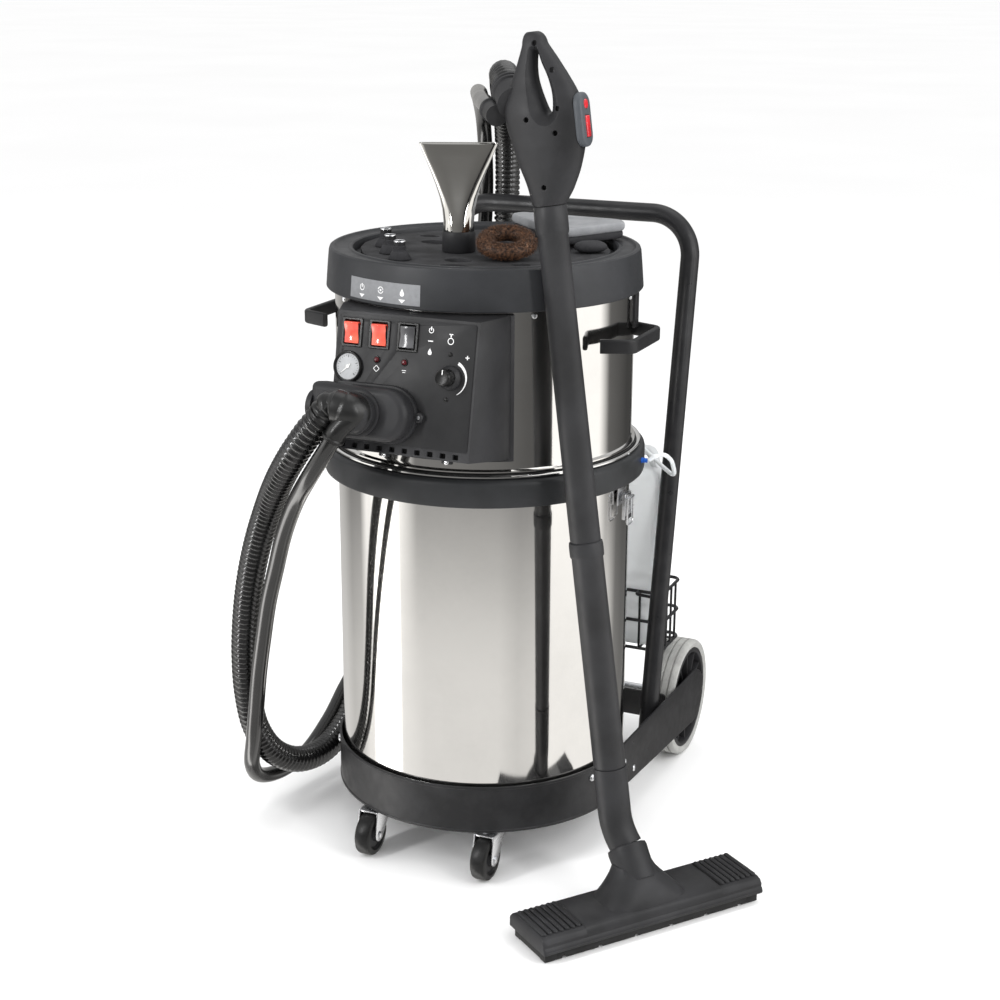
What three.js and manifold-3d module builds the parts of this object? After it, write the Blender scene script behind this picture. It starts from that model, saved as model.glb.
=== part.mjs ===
// A commercial steam cleaner with wet suction, in millimetres, +Z up, control panel towards -Y.
// A round recovery tank stands on a wheeled chassis. The head that sits on it holds the boiler and
// the suction motor, and a lid tray with the accessories. Two hoses run from the head to the handle
// of the lance, which leans on the lid.
import * as THREE from 'three';
import { mergeVertices } from 'three/addons/utils/BufferGeometryUtils.js';
import { ConvexGeometry } from 'three/addons/geometries/ConvexGeometry.js';
import Module from 'manifold-3d';

const wasm = await Module();
wasm.setup();

// ---- Driving dimensions -------------------------------------------------------------------------
const GAP = 0.3; // between pieces that touch
const RUNNING = 0.4; // radial clearance of a turning piece
const ROUND = 48; // sides of everything that follows the drum

const DRUM_R = 200;
const SHEET = 2;
const HOOP = { inner: 203.3, outer: 207, bottom: 66.5, top: 133 };
const BASE_PLATE_Z = 74;
const BASE_PLATE_T = 4;
const TANK_BOTTOM = BASE_PLATE_Z + BASE_PLATE_T + GAP;
const RING = { inner: 200.4, outer: 219, bottom: 524, top: 561 };
const FLANGE = { outer: 213, bottom: RING.top + GAP, top: 567 };
const HEAD = { bottom: FLANGE.top + GAP, top: 800 };
const LID = { bottom: 773, top: 826, floor: 812, lowR: 211, topR: 206 };
const TRAY = { r: 171, bottom: LID.floor + GAP, top: 820 };

const REAR_WHEEL = { r: 90, hubR: 77.6, width: 44, outerX: 209, y: 313 };
const AXLE_R = 7.5;
const ARM = { innerX: 207.4, thickness: 4, endR: 43, splay: 0.0133 };
const CASTER = { x: 87, wheelY: -188, pivotY: -168, r: 30, width: 24, pinR: 3 };

const HANDLE = { r: 13.5, halfWidth: 190, footY: 166, footZ: 72, lean: 0.182, barZ: 836, bend: 62 };
const BASKET = { halfX: 190, y: [226, 313], z: [190, 286], wire: 5 };
const CANISTER = { x: [-16, 175], y: [231.6, 307.4], bottom: 195.3, shoulder: 470, handleTop: 499 };

const PANEL = { topY: -228, topZ: 769, tilt: 1.3676, half: 97, length: 172, plate: 3 };
const SUCTION_R = 19;
const STEAM_R = 11;

const LANCE_FOOT = new THREE.Vector3(264, -175, 136);
const LANCE_TOP = new THREE.Vector3(154, -151.3, 900);
const LANCE_JOINTS = [57, 358, 776];
const TOOL = { x: 311, y: -203, yaw: 0.9224, length: 334, depth: 90 };

// ---- Materials ----------------------------------------------------------------------------------
const finish = (color, roughness, metalness) =>
  new THREE.MeshStandardMaterial({ color, roughness, metalness });
const steel = () => finish(0xc9c7c2, 0.22, 1);
const chrome = () => finish(0xd6d6d4, 0.08, 1);
const zinc = () => finish(0xb9bbbd, 0.4, 1);
const blackPaint = () => finish(0x151515, 0.38, 0.3);
const blackPlastic = () => finish(0x1b1b1c, 0.5, 0);
const greyPlastic = () => finish(0x3b3c3e, 0.5, 0);
const greyRubber = () => finish(0xa9a9a4, 0.75, 0);
const blackRubber = () => finish(0x161616, 0.8, 0);
const redPlastic = () => finish(0xd8392b, 0.3, 0);
const clearPlastic = () => finish(0xe6e8e6, 0.35, 0);

// ---- Geometry helpers ---------------------------------------------------------------------------
function solid(geometry) {
  const bare = geometry.index ? geometry.toNonIndexed() : geometry.clone();
  bare.deleteAttribute('normal');
  bare.deleteAttribute('uv');
  const merged = mergeVertices(bare, 1e-4);
  const vertProperties = new Float32Array(merged.attributes.position.array);
  const triVerts = new Uint32Array(merged.index.array);
  const built = new wasm.Manifold(new wasm.Mesh({ numProp: 3, vertProperties, triVerts }));
  if (built.volume() > 0) return built;
  for (let i = 0; i < triVerts.length; i += 3) {
    [triVerts[i], triVerts[i + 1]] = [triVerts[i + 1], triVerts[i]];
  }
  return new wasm.Manifold(new wasm.Mesh({ numProp: 3, vertProperties, triVerts }));
}

function geometryOf(manifold) {
  const mesh = manifold.getMesh();
  const positions = new Float32Array(mesh.triVerts.length * 3);
  mesh.triVerts.forEach((vertex, corner) => {
    for (let k = 0; k < 3; k++) {
      positions[corner * 3 + k] = mesh.vertProperties[vertex * mesh.numProp + k];
    }
  });
  const geometry = new THREE.BufferGeometry();
  geometry.setAttribute('position', new THREE.BufferAttribute(positions, 3));
  geometry.computeVertexNormals();
  return geometry;
}

const join = (...pieces) => geometryOf(pieces.map(solid).reduce((a, b) => a.add(b)));
const cut = (body, ...tools) =>
  geometryOf(tools.map(solid).reduce((a, b) => a.subtract(b), solid(body)));
const mirroredX = (geometry) => geometryOf(solid(geometry.clone().scale(-1, 1, 1)));

const box = (w, d, h, x = 0, y = 0, z = 0) => new THREE.BoxGeometry(w, d, h).translate(x, y, z);

// A cylinder from z = 0 to z = length.
function rod(radius, length, sides = 24, topRadius = radius) {
  const geometry = new THREE.CylinderGeometry(topRadius, radius, length, sides);
  return geometry.rotateX(Math.PI / 2).translate(0, 0, length / 2);
}

// A cylinder between two points.
function rodBetween(start, end, radius, sides = 16) {
  const along = end.clone().sub(start);
  const turn = new THREE.Quaternion().setFromUnitVectors(
    new THREE.Vector3(0, 0, 1),
    along.clone().normalize(),
  );
  return rod(radius, along.length(), sides).applyQuaternion(turn).translate(...start);
}

// A profile of [radius, z] pairs turned about the Z axis.
function turned(profile, sides = ROUND) {
  const points = profile.map(([r, z]) => new THREE.Vector2(r, z));
  return new THREE.LatheGeometry(points, sides).rotateX(Math.PI / 2);
}

const ring = (inner, outer, bottom, top, sides = ROUND) =>
  turned([[inner, bottom], [outer, bottom], [outer, top], [inner, top], [inner, bottom]], sides);

function outline(points) {
  return new THREE.Shape(points.map(([x, y]) => new THREE.Vector2(x, y)));
}

function roundedRect(w, h, r) {
  const shape = new THREE.Shape();
  shape.moveTo(-w / 2 + r, -h / 2);
  shape.lineTo(w / 2 - r, -h / 2);
  shape.absarc(w / 2 - r, -h / 2 + r, r, -Math.PI / 2, 0);
  shape.absarc(w / 2 - r, h / 2 - r, r, 0, Math.PI / 2);
  shape.absarc(-w / 2 + r, h / 2 - r, r, Math.PI / 2, Math.PI);
  shape.absarc(-w / 2 + r, -h / 2 + r, r, Math.PI, 1.5 * Math.PI);
  return shape;
}

const plate = (shape, depth, curveSegments = 6) =>
  new THREE.ExtrudeGeometry(shape, { depth, bevelEnabled: false, curveSegments });

function bevelled(shape, depth, bevel, curveSegments = 6) {
  return new THREE.ExtrudeGeometry(shape, {
    depth: depth - 2 * bevel,
    bevelThickness: bevel,
    bevelSize: bevel,
    bevelOffset: -bevel,
    bevelSegments: 2,
    curveSegments,
  }).translate(0, 0, bevel);
}

// A path whose extrusion steps fall exactly on the given points.
class Stations extends THREE.Curve {
  constructor(points) {
    super();
    this.points = points;
  }
  getPoint(t, target = new THREE.Vector3()) {
    const last = this.points.length - 1;
    const i = Math.min(Math.floor(t * last + 1e-9), last - 1);
    return target.lerpVectors(this.points[i], this.points[i + 1], t * last - i);
  }
  getPointAt(u, target) {
    return this.getPoint(u, target);
  }
  getTangent(t, target = new THREE.Vector3()) {
    const last = this.points.length - 1;
    const i = Math.round(t * last);
    const before = this.points[Math.max(i - 1, 0)];
    const after = this.points[Math.min(i + 1, last)];
    return target.subVectors(after, before).normalize();
  }
  getTangentAt(u, target) {
    return this.getTangent(u, target);
  }
}

const toVectors = (points) => points.map((p) => new THREE.Vector3(...p));

// A polyline with its inner corners rounded to the given radius.
function rounded(points, radius, perCorner = 5) {
  const corners = toVectors(points);
  const path = [corners[0]];
  for (let i = 1; i < corners.length - 1; i++) {
    const back = corners[i - 1].clone().sub(corners[i]).normalize();
    const ahead = corners[i + 1].clone().sub(corners[i]).normalize();
    const half = back.angleTo(ahead) / 2;
    const reach = radius / Math.tan(half);
    const middle = back.clone().add(ahead).normalize();
    const centre = corners[i].clone().addScaledVector(middle, radius / Math.sin(half));
    const from = corners[i].clone().addScaledVector(back, reach).sub(centre);
    const to = corners[i].clone().addScaledVector(ahead, reach).sub(centre);
    const sweep = from.angleTo(to);
    for (let k = 0; k <= perCorner; k++) {
      const a = (k / perCorner) * sweep;
      const point = from.clone().multiplyScalar(Math.sin(sweep - a) / Math.sin(sweep));
      point.addScaledVector(to, Math.sin(a) / Math.sin(sweep)).add(centre);
      path.push(point);
    }
  }
  path.push(corners[corners.length - 1]);
  return path;
}

function swept(shape, path) {
  const extrudePath = new Stations(path);
  const steps = path.length - 1;
  return new THREE.ExtrudeGeometry(shape, { extrudePath, steps, curveSegments: 2 });
}

function disc(radius, sides) {
  const points = [];
  for (let i = 0; i < sides; i++) {
    const a = (i / sides) * 2 * Math.PI;
    points.push([radius * Math.cos(a), radius * Math.sin(a)]);
  }
  return outline(points);
}

const tube = (path, radius, sides = 12) => swept(disc(radius, sides), path);

// A closed skin through rings of points; every ring has the same number of points.
function lofted(rings) {
  const count = rings[0].length;
  const positions = rings.flat().flatMap((p) => [p.x, p.y, p.z]);
  const index = [];
  for (let r = 0; r + 1 < rings.length; r++) {
    for (let i = 0; i < count; i++) {
      const a = r * count + i;
      const b = r * count + ((i + 1) % count);
      index.push(a, b, a + count, b, b + count, a + count);
    }
  }
  const top = (rings.length - 1) * count;
  for (let i = 1; i + 1 < count; i++) {
    index.push(0, i + 1, i);
    index.push(top, top + i, top + i + 1);
  }
  const geometry = new THREE.BufferGeometry();
  geometry.setAttribute('position', new THREE.Float32BufferAttribute(positions, 3));
  geometry.setIndex(index);
  return geometryOf(solid(geometry));
}

// A superellipse ring of half-widths a and b at height z, shifted by (x, y).
function oval(a, b, z, x = 0, y = 0, power = 2, count = 24) {
  const points = [];
  for (let i = 0; i < count; i++) {
    const t = (i / count) * 2 * Math.PI;
    const c = Math.cos(t);
    const s = Math.sin(t);
    const px = Math.sign(c) * Math.abs(c) ** (2 / power) * a;
    const py = Math.sign(s) * Math.abs(s) ** (2 / power) * b;
    points.push(new THREE.Vector3(x + px, y + py, z));
  }
  return points;
}

function add(parent, name, geometry, material) {
  const mesh = new THREE.Mesh(geometry, material);
  mesh.name = name;
  parent.add(mesh);
  return mesh;
}

const SIDES = [
  { side: 'left', sign: -1 },
  { side: 'right', sign: 1 },
];

// ---- Chassis ------------------------------------------------------------------------------------
function buildChassis(parent) {
  const fullHoop = ring(HOOP.inner, HOOP.outer, HOOP.bottom, HOOP.top);
  add(parent, 'base_hoop', cut(fullHoop, box(450, 250, 100, 0, 125, 98)), blackPaint());
  const basePlate = turned([
    [0, BASE_PLATE_Z],
    [HOOP.inner - GAP, BASE_PLATE_Z],
    [HOOP.inner - GAP, BASE_PLATE_Z + BASE_PLATE_T],
    [0, BASE_PLATE_Z + BASE_PLATE_T],
  ]);
  const crossbar = bevelled(roundedRect(404, 40, 4), 4, 0.8, 2).rotateX(Math.PI / 2);
  crossbar.translate(0, 214, 112);
  const tongue = box(150, 30, BASE_PLATE_T, 0, 199, BASE_PLATE_Z + BASE_PLATE_T / 2);
  const riser = box(150, 4, 30, 0, 212, 89);
  add(parent, 'base_plate', join(basePlate, tongue, riser, crossbar), blackPaint());

  const arm = new THREE.Shape();
  const endZ = REAR_WHEEL.r + 2;
  arm.moveTo(GAP, HOOP.bottom);
  arm.lineTo(REAR_WHEEL.y, endZ - ARM.endR);
  arm.absarc(REAR_WHEEL.y, endZ, ARM.endR, -Math.PI / 2, Math.PI / 2);
  arm.lineTo(GAP, HOOP.top);
  const strap = plate(arm, ARM.thickness, 12).rotateX(Math.PI / 2).rotateZ(Math.PI / 2);
  strap.rotateZ(-ARM.splay * 2).translate(ARM.innerX - 4, 0, 0);
  add(parent, 'chassis_arm_right', strap, blackPaint());
  add(parent, 'chassis_arm_left', mirroredX(strap), blackPaint());

  const axle = rod(AXLE_R, 2 * (REAR_WHEEL.outerX + 1), 24).rotateY(Math.PI / 2);
  axle.translate(-REAR_WHEEL.outerX - 1, REAR_WHEEL.y, REAR_WHEEL.r);
  add(parent, 'rear_axle', axle, zinc());
}

function buildRearWheels(parent) {
  const half = REAR_WHEEL.width / 2;
  const bore = AXLE_R + RUNNING;
  const hubR = REAR_WHEEL.hubR - GAP;
  const hub = turned([
    [bore, -half],
    [19, -half],
    [19, -half + 12],
    [hubR - 8, -half + 12],
    [hubR - 8, -half + 2],
    [hubR, -half + 2],
    [hubR, half - 2],
    [hubR - 8, half - 2],
    [hubR - 8, half - 12],
    [19, half - 12],
    [19, half],
    [bore, half],
    [bore, -half],
  ], 24);
  const tyre = turned([
    [REAR_WHEEL.hubR, -half],
    [REAR_WHEEL.r - 5, -half],
    [REAR_WHEEL.r, -half + 7],
    [REAR_WHEEL.r, half - 7],
    [REAR_WHEEL.r - 5, half],
    [REAR_WHEEL.hubR, half],
    [REAR_WHEEL.hubR, -half],
  ], 48);
  for (const { side, sign } of SIDES) {
    const wheel = new THREE.Group();
    wheel.position.set(sign * (REAR_WHEEL.outerX - half), REAR_WHEEL.y, REAR_WHEEL.r);
    wheel.rotation.y = Math.PI / 2;
    parent.add(wheel);
    add(wheel, `rear_hub_${side}`, hub, blackPlastic());
    add(wheel, `rear_tyre_${side}`, tyre, greyRubber());
  }
}

function buildCasters(parent) {
  const forward = CASTER.wheelY - CASTER.pivotY;
  const plateZ = 62.3;
  const legX = CASTER.width / 2 + 2.5;
  const leg = outline([
    [-26, plateZ + 2],
    [18, plateZ + 2],
    [forward + 8, CASTER.r - 3],
    [forward + 4, CASTER.r - 8],
    [forward - 4, CASTER.r - 8],
    [forward - 8, CASTER.r - 3],
  ]);
  const legPlate = plate(leg, 2.5).rotateX(Math.PI / 2).rotateZ(Math.PI / 2);
  const legs = [-legX, legX].map((x) => legPlate.clone().translate(x - 1.25, 0, 0));
  const top = box(2 * legX + 2.5, 44, 3, 0, -4, plateZ + 1);
  const swivel = rod(13.6, BASE_PLATE_Z - plateZ - 2 - RUNNING, 20).translate(0, 0, plateZ + 2);
  const pin = rod(CASTER.pinR, 2 * legX, 12).rotateY(Math.PI / 2);
  pin.translate(-legX, forward, CASTER.r);
  const fork = join(top, swivel, pin, ...legs);
  const half = CASTER.width / 2;
  const bore = CASTER.pinR + RUNNING;
  const wheelShape = turned([
    [bore, -half],
    [11, -half],
    [11, -half + 3],
    [CASTER.r - 7, -half + 3],
    [CASTER.r - 4, -half + 1],
    [CASTER.r, -half + 5],
    [CASTER.r, half - 5],
    [CASTER.r - 4, half - 1],
    [CASTER.r - 7, half - 3],
    [11, half - 3],
    [11, half],
    [bore, half],
    [bore, -half],
  ], 24).rotateY(Math.PI / 2);
  for (const { side, sign } of SIDES) {
    const caster = new THREE.Group();
    caster.position.set(sign * CASTER.x, CASTER.pivotY, 0);
    parent.add(caster);
    add(caster, `caster_fork_${side}`, fork, zinc());
    const wheel = add(caster, `caster_wheel_${side}`, wheelShape, blackRubber());
    wheel.position.set(0, forward, CASTER.r);
  }
}

// ---- Recovery tank, its rim and latches ---------------------------------------------------------
function buildTank(parent) {
  const tank = turned([
    [0, TANK_BOTTOM],
    [DRUM_R - 6, TANK_BOTTOM],
    [DRUM_R, TANK_BOTTOM + 6],
    [DRUM_R, RING.top - 3],
    [DRUM_R - SHEET, RING.top - 3],
    [DRUM_R - SHEET, TANK_BOTTOM + 7],
    [DRUM_R - 8, TANK_BOTTOM + SHEET],
    [0, TANK_BOTTOM + SHEET],
  ]);
  add(parent, 'recovery_tank', tank, steel());
  const rim = turned([
    [RING.inner, RING.bottom],
    [RING.outer - 3, RING.bottom],
    [RING.outer, RING.bottom + 3],
    [RING.outer, RING.top - 4],
    [RING.outer - 4, RING.top],
    [DRUM_R - 8, RING.top],
    [DRUM_R - 8, RING.top - 2.4],
    [RING.inner, RING.top - 2.4],
    [RING.inner, RING.bottom],
  ]);
  const fittings = [latchBracket(), mirroredX(latchBracket()), dosingNipple()];
  add(parent, 'tank_rim', cut(join(rim, ...fittings), rod(RING.inner, 70, ROUND).translate(0, 0, 480)),
    greyPlastic());
}

const LATCH = { y: -5, pivotX: 209.5, pivotZ: 508, bailX: 215, bailZ: 502, width: 24 };

function latchBracket() {
  return join(
    box(9, LATCH.width + 8, 30, 201, LATCH.y, 512),
    box(14, LATCH.width + 8, 8, 206, LATCH.y, 523),
  );
}

// A hose nipple low on the rim, where the dosing tube enters the tank.
function dosingNipple() {
  return rod(4, 17, 16, 2.6).rotateY(Math.PI / 2).rotateZ(0.14).translate(208, 29.4, 545);
}

function buildLatches(parent) {
  const lever = join(
    box(5.4, LATCH.width, 38, LATCH.pivotX, LATCH.y, 491),
    box(7, LATCH.width - 6, 8, LATCH.pivotX + 1.6, LATCH.y, 476),
  );
  const bailHalf = LATCH.width / 2 - 1;
  const bail = tube(rounded([
    [LATCH.bailX, LATCH.y - bailHalf, LATCH.bailZ],
    [LATCH.bailX, LATCH.y - bailHalf, LATCH.bailZ - 36],
    [LATCH.bailX, LATCH.y + bailHalf, LATCH.bailZ - 36],
    [LATCH.bailX, LATCH.y + bailHalf, LATCH.bailZ],
  ], 5, 3), 1.5, 8);
  const pieces = [
    ['latch_lever', lever, blackPlastic],
    ['latch_bail', bail, zinc],
  ];
  for (const [name, geometry, material] of pieces) {
    add(parent, `${name}_right`, geometry, material());
    add(parent, `${name}_left`, mirroredX(geometry), material());
  }
}

// ---- Push handle, basket and canister -----------------------------------------------------------
function buildPushHandle(parent) {
  const legY = (z) => HANDLE.footY + (z - HANDLE.footZ) * HANDLE.lean;
  const path = rounded([
    [-HANDLE.halfWidth, legY(HANDLE.footZ), HANDLE.footZ],
    [-HANDLE.halfWidth, legY(HANDLE.barZ), HANDLE.barZ],
    [HANDLE.halfWidth, legY(HANDLE.barZ), HANDLE.barZ],
    [HANDLE.halfWidth, legY(HANDLE.footZ), HANDLE.footZ],
  ], HANDLE.bend, 6);
  add(parent, 'push_handle', tube(path, HANDLE.r, 12), blackPaint());
}

function buildBasket(parent) {
  const { halfX, wire } = BASKET;
  const [y0, y1] = BASKET.y;
  const [z0, z1] = BASKET.z;
  const width = 2 * halfX;
  const depth = y1 - y0;
  const middleY = (y0 + y1) / 2;
  const hoopAt = (z) => {
    const shape = roundedRect(width, depth, 12);
    shape.holes.push(roundedRect(width - 2 * wire, depth - 2 * wire, 12 - wire));
    return plate(shape, wire, 3).translate(0, middleY, z);
  };
  const wires = [hoopAt(z0), hoopAt(z0 + 46), hoopAt(z1 - wire)];
  const uprightX = [-0.6, -0.2, 0.2, 0.6].map((k) => k * halfX);
  for (const x of uprightX) {
    for (const y of [y0 + wire / 2, y1 - wire / 2]) {
      wires.push(box(wire, wire - 0.4, z1 - z0 - 1, x, y, (z0 + z1) / 2));
    }
    wires.push(box(wire, depth - 2, wire - 1, x, middleY, z0 + wire / 2));
  }
  for (const { sign } of SIDES) {
    const x = sign * (halfX - wire / 2);
    wires.push(box(wire - 0.4, wire, z1 - z0 - 1, x, middleY, (z0 + z1) / 2));
  }
  add(parent, 'wire_basket', join(...wires), blackPaint());
}

function buildCanister(parent) {
  const [x0, x1] = CANISTER.x;
  const [y0, y1] = CANISTER.y;
  const { bottom, shoulder, handleTop } = CANISTER;
  const width = x1 - x0;
  const depth = y1 - y0;
  const middleX = (x0 + x1) / 2;
  const middleY = (y0 + y1) / 2;
  const section = (inset, z) =>
    oval(width / 2 - inset, depth / 2 - inset, z, middleX, middleY, 7, 24);
  const body = lofted([
    section(8, bottom),
    section(0, bottom + 9),
    section(0, shoulder - 22),
    section(9, shoulder - 5),
    section(22, shoulder),
  ]);
  const handle = swept(roundedRect(24, 13, 5), rounded([
    [middleX - 10, middleY, shoulder - 8],
    [middleX + 4, middleY, handleTop - 7],
    [x1 - 24, middleY, handleTop - 7],
    [x1 - 14, middleY, shoulder - 14],
  ], 10, 3));
  const capX = x0 + 42;
  const neck = rod(19, 16, 24).translate(capX, middleY, shoulder - 8);
  add(parent, 'detergent_canister', join(body, handle, neck), clearPlastic());
  const cap = rod(22, 20, 24).translate(capX, middleY, shoulder + 8 + GAP);
  add(parent, 'canister_cap', cap, blackPlastic());
}

// ---- Head: drum, flange, inner machinery --------------------------------------------------------
function buildHead(parent) {
  const flange = turned([
    [32, FLANGE.bottom],
    [FLANGE.outer - 2, FLANGE.bottom],
    [FLANGE.outer, FLANGE.bottom + 2],
    [FLANGE.outer - 4, FLANGE.top],
    [DRUM_R - 4, FLANGE.top],
    [DRUM_R - 8, FLANGE.top - 2],
    [32, FLANGE.top - 2],
    [32, FLANGE.bottom],
  ]);
  add(parent, 'head_flange', flange, steel());
  const drum = ring(DRUM_R - SHEET, DRUM_R, HEAD.bottom, HEAD.top);
  add(parent, 'head_drum', drum, steel());

  const boiler = turned([
    [0, 585],
    [50, 590],
    [78, 606],
    [84, 624],
    [84, 730],
    [78, 748],
    [50, 764],
    [0, 769],
  ], 28).translate(-88, 6, 0);
  add(parent, 'boiler', boiler, steel());
  const motor = turned([
    [0, 570],
    [66, 570],
    [70, 574],
    [70, 622],
    [66, 626],
    [50, 630],
    [48, 700],
    [40, 712],
    [0, 714],
  ], 28).translate(96, 12, 0);
  add(parent, 'suction_motor', motor, blackPlastic());
  const pump = join(
    box(56, 44, 46, 10, 138, 594),
    rod(20, 62, 24).translate(10, 138, 612),
  );
  add(parent, 'water_pump', pump, blackPlastic());
  const floatCage = turned([
    [26, 480],
    [30, 480],
    [30, 561],
    [31.6, 561],
    [31.6, 566],
    [26, 566],
    [26, 480],
  ], 28);
  add(parent, 'float_cage', floatCage, blackPlastic());
}

function buildLid(parent) {
  const lid = turned([
    [0, LID.floor - 4],
    [197, LID.floor - 4],
    [202, 800],
    [206.5, LID.bottom],
    [LID.lowR, LID.bottom],
    [LID.topR + 0.6, LID.top - 3],
    [LID.topR - 2, LID.top],
    [199, LID.top],
    [196, LID.top - 3.5],
    [176, LID.top - 2],
    [174, LID.floor],
    [0, LID.floor],
  ]);
  add(parent, 'lid', lid, greyPlastic());

  const scallops = new THREE.Shape();
  const count = 72;
  for (let i = 0; i < count; i++) {
    const a = (i / count) * 2 * Math.PI;
    const r = TRAY.r - 4 + 3 * Math.cos(4 * a + 0.8);
    const place = [r * Math.cos(a), r * Math.sin(a)];
    if (i === 0) scallops.moveTo(...place);
    else scallops.lineTo(...place);
  }
  const holes = [
    { x: -79, y: 17, a: 23, b: 16 },
    { x: 10, y: -106, a: 19, b: 14 },
    { x: 24, y: -146, a: 20, b: 12 },
    { x: -6, y: 102, a: 17, b: 13 },
    { x: -40, y: 112, a: 9, b: 9 },
  ];
  for (const { x, y, a, b } of holes) {
    scallops.holes.push(new THREE.Path().absellipse(x, y, a, b, 0, 2 * Math.PI));
  }
  const insert = plate(scallops, TRAY.top - TRAY.bottom, 5).translate(0, 0, TRAY.bottom);
  add(parent, 'accessory_tray', insert, blackRubber());
}

function buildSideHandles(parent) {
  const path = rounded([
    [190, -88, 721],
    [236, -70, 721],
    [236, 28, 721],
    [190, 46, 721],
  ], 13, 4);
  const loop = swept(roundedRect(19, 9, 3), path);
  const strap = box(8, 15, 52, 202.2, 30, 745);
  const drumCut = rod(DRUM_R + GAP, 200, ROUND).translate(0, 0, 640);
  const handle = cut(join(loop, strap), drumCut);
  add(parent, 'side_handle_right', handle, blackPlastic());
  add(parent, 'side_handle_left', mirroredX(handle), blackPlastic());
}

// ---- Hose routes, from the elbow on the control box to the handle of the lance -------------------
const SUCTION_ROUTE = [
  [-84, -309, 646], [-95, -311, 633], [-119, -308, 602], [-157, -284, 555], [-191, -258, 505],
  [-218, -242, 451], [-239, -230, 394], [-255, -219, 334], [-265, -210, 273], [-270, -199, 212],
  [-269, -182, 152], [-262, -149, 103], [-251, -98, 71], [-241, -40, 65], [-236, 17, 86],
  [-233, 66, 126], [-219, 111, 169], [-190, 148, 207], [-161, 176, 254], [-144, 197, 310],
  [-136, 206, 371], [-133, 213, 433], [-131, 230, 493], [-131, 258, 548], [-131, 294, 600],
  [-131, 326, 653], [-130, 347, 712], [-127, 356, 773], [-124, 356, 836], [-118, 343, 896],
  [-107, 314, 950], [-91, 269, 990], [-70, 215, 1014], [-46, 160, 1027], [-21, 104, 1034],
  [5, 46, 1039], [30, -11, 1045], [54, -63, 1048], [66, -88, 1047], [76, -105, 1043],
  [85, -119, 1037],
];
const STEAM_ROUTE = [
  [-60, -319, 627], [-67, -320, 615], [-93, -316, 578], [-126, -298, 534], [-154, -282, 483],
  [-176, -268, 429], [-196, -257, 375], [-213, -245, 319], [-228, -235, 262], [-240, -226, 206],
  [-253, -215, 151], [-271, -193, 101], [-285, -150, 62], [-284, -94, 45], [-275, -35, 52],
  [-267, 22, 84], [-265, 71, 118], [-256, 116, 157], [-234, 149, 199], [-205, 168, 246],
  [-182, 180, 298], [-169, 193, 355], [-165, 201, 413], [-164, 211, 472], [-163, 230, 528],
  [-163, 260, 579], [-163, 294, 628], [-163, 322, 680], [-160, 340, 736], [-158, 349, 795],
  [-155, 347, 854], [-149, 330, 911], [-138, 298, 958], [-122, 252, 988], [-101, 199, 1003],
  [-77, 146, 1010], [-51, 93, 1013], [-26, 40, 1014], [0, -14, 1014], [26, -61, 1014],
  [47, -97, 1013], [61, -119, 1011],
];

// A plain stub that a hose end butts against, in line with the hose.
function hoseStub(route, radius, length, atEnd = false) {
  const [tip, next] = atEnd ? route.slice(-2).reverse() : route.slice(0, 2);
  const end = new THREE.Vector3(...tip);
  const back = end.clone().sub(new THREE.Vector3(...next)).normalize();
  return { start: end.clone().addScaledVector(back, length), end, radius };
}

// ---- Control box on the front of the head -------------------------------------------------------
const SWITCHES = [
  { name: 'power_switch', x: -75, tilt: 1 },
  { name: 'vacuum_switch', x: -37, tilt: 1 },
  { name: 'water_switch', x: 2, tilt: 0 },
];
const SWITCH = { down: 26, w: 20, h: 27, bezelW: 29, bezelH: 36, bezelT: 2.5, tilt: 0.2 };
const GAUGE = { x: -77, down: 69, r: 20, bodyR: 15 };
const LAMPS = [-38, 0];
const LAMP = { down: 57, r: 3.2 };
const KNOB = { x: 63, down: 70, r: 15 };
const SOCKET = { x: -50, down: 123, half: 38, r: 33.5, depth: 30 };
const ELBOW = { x: -43, down: 123 };

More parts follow.
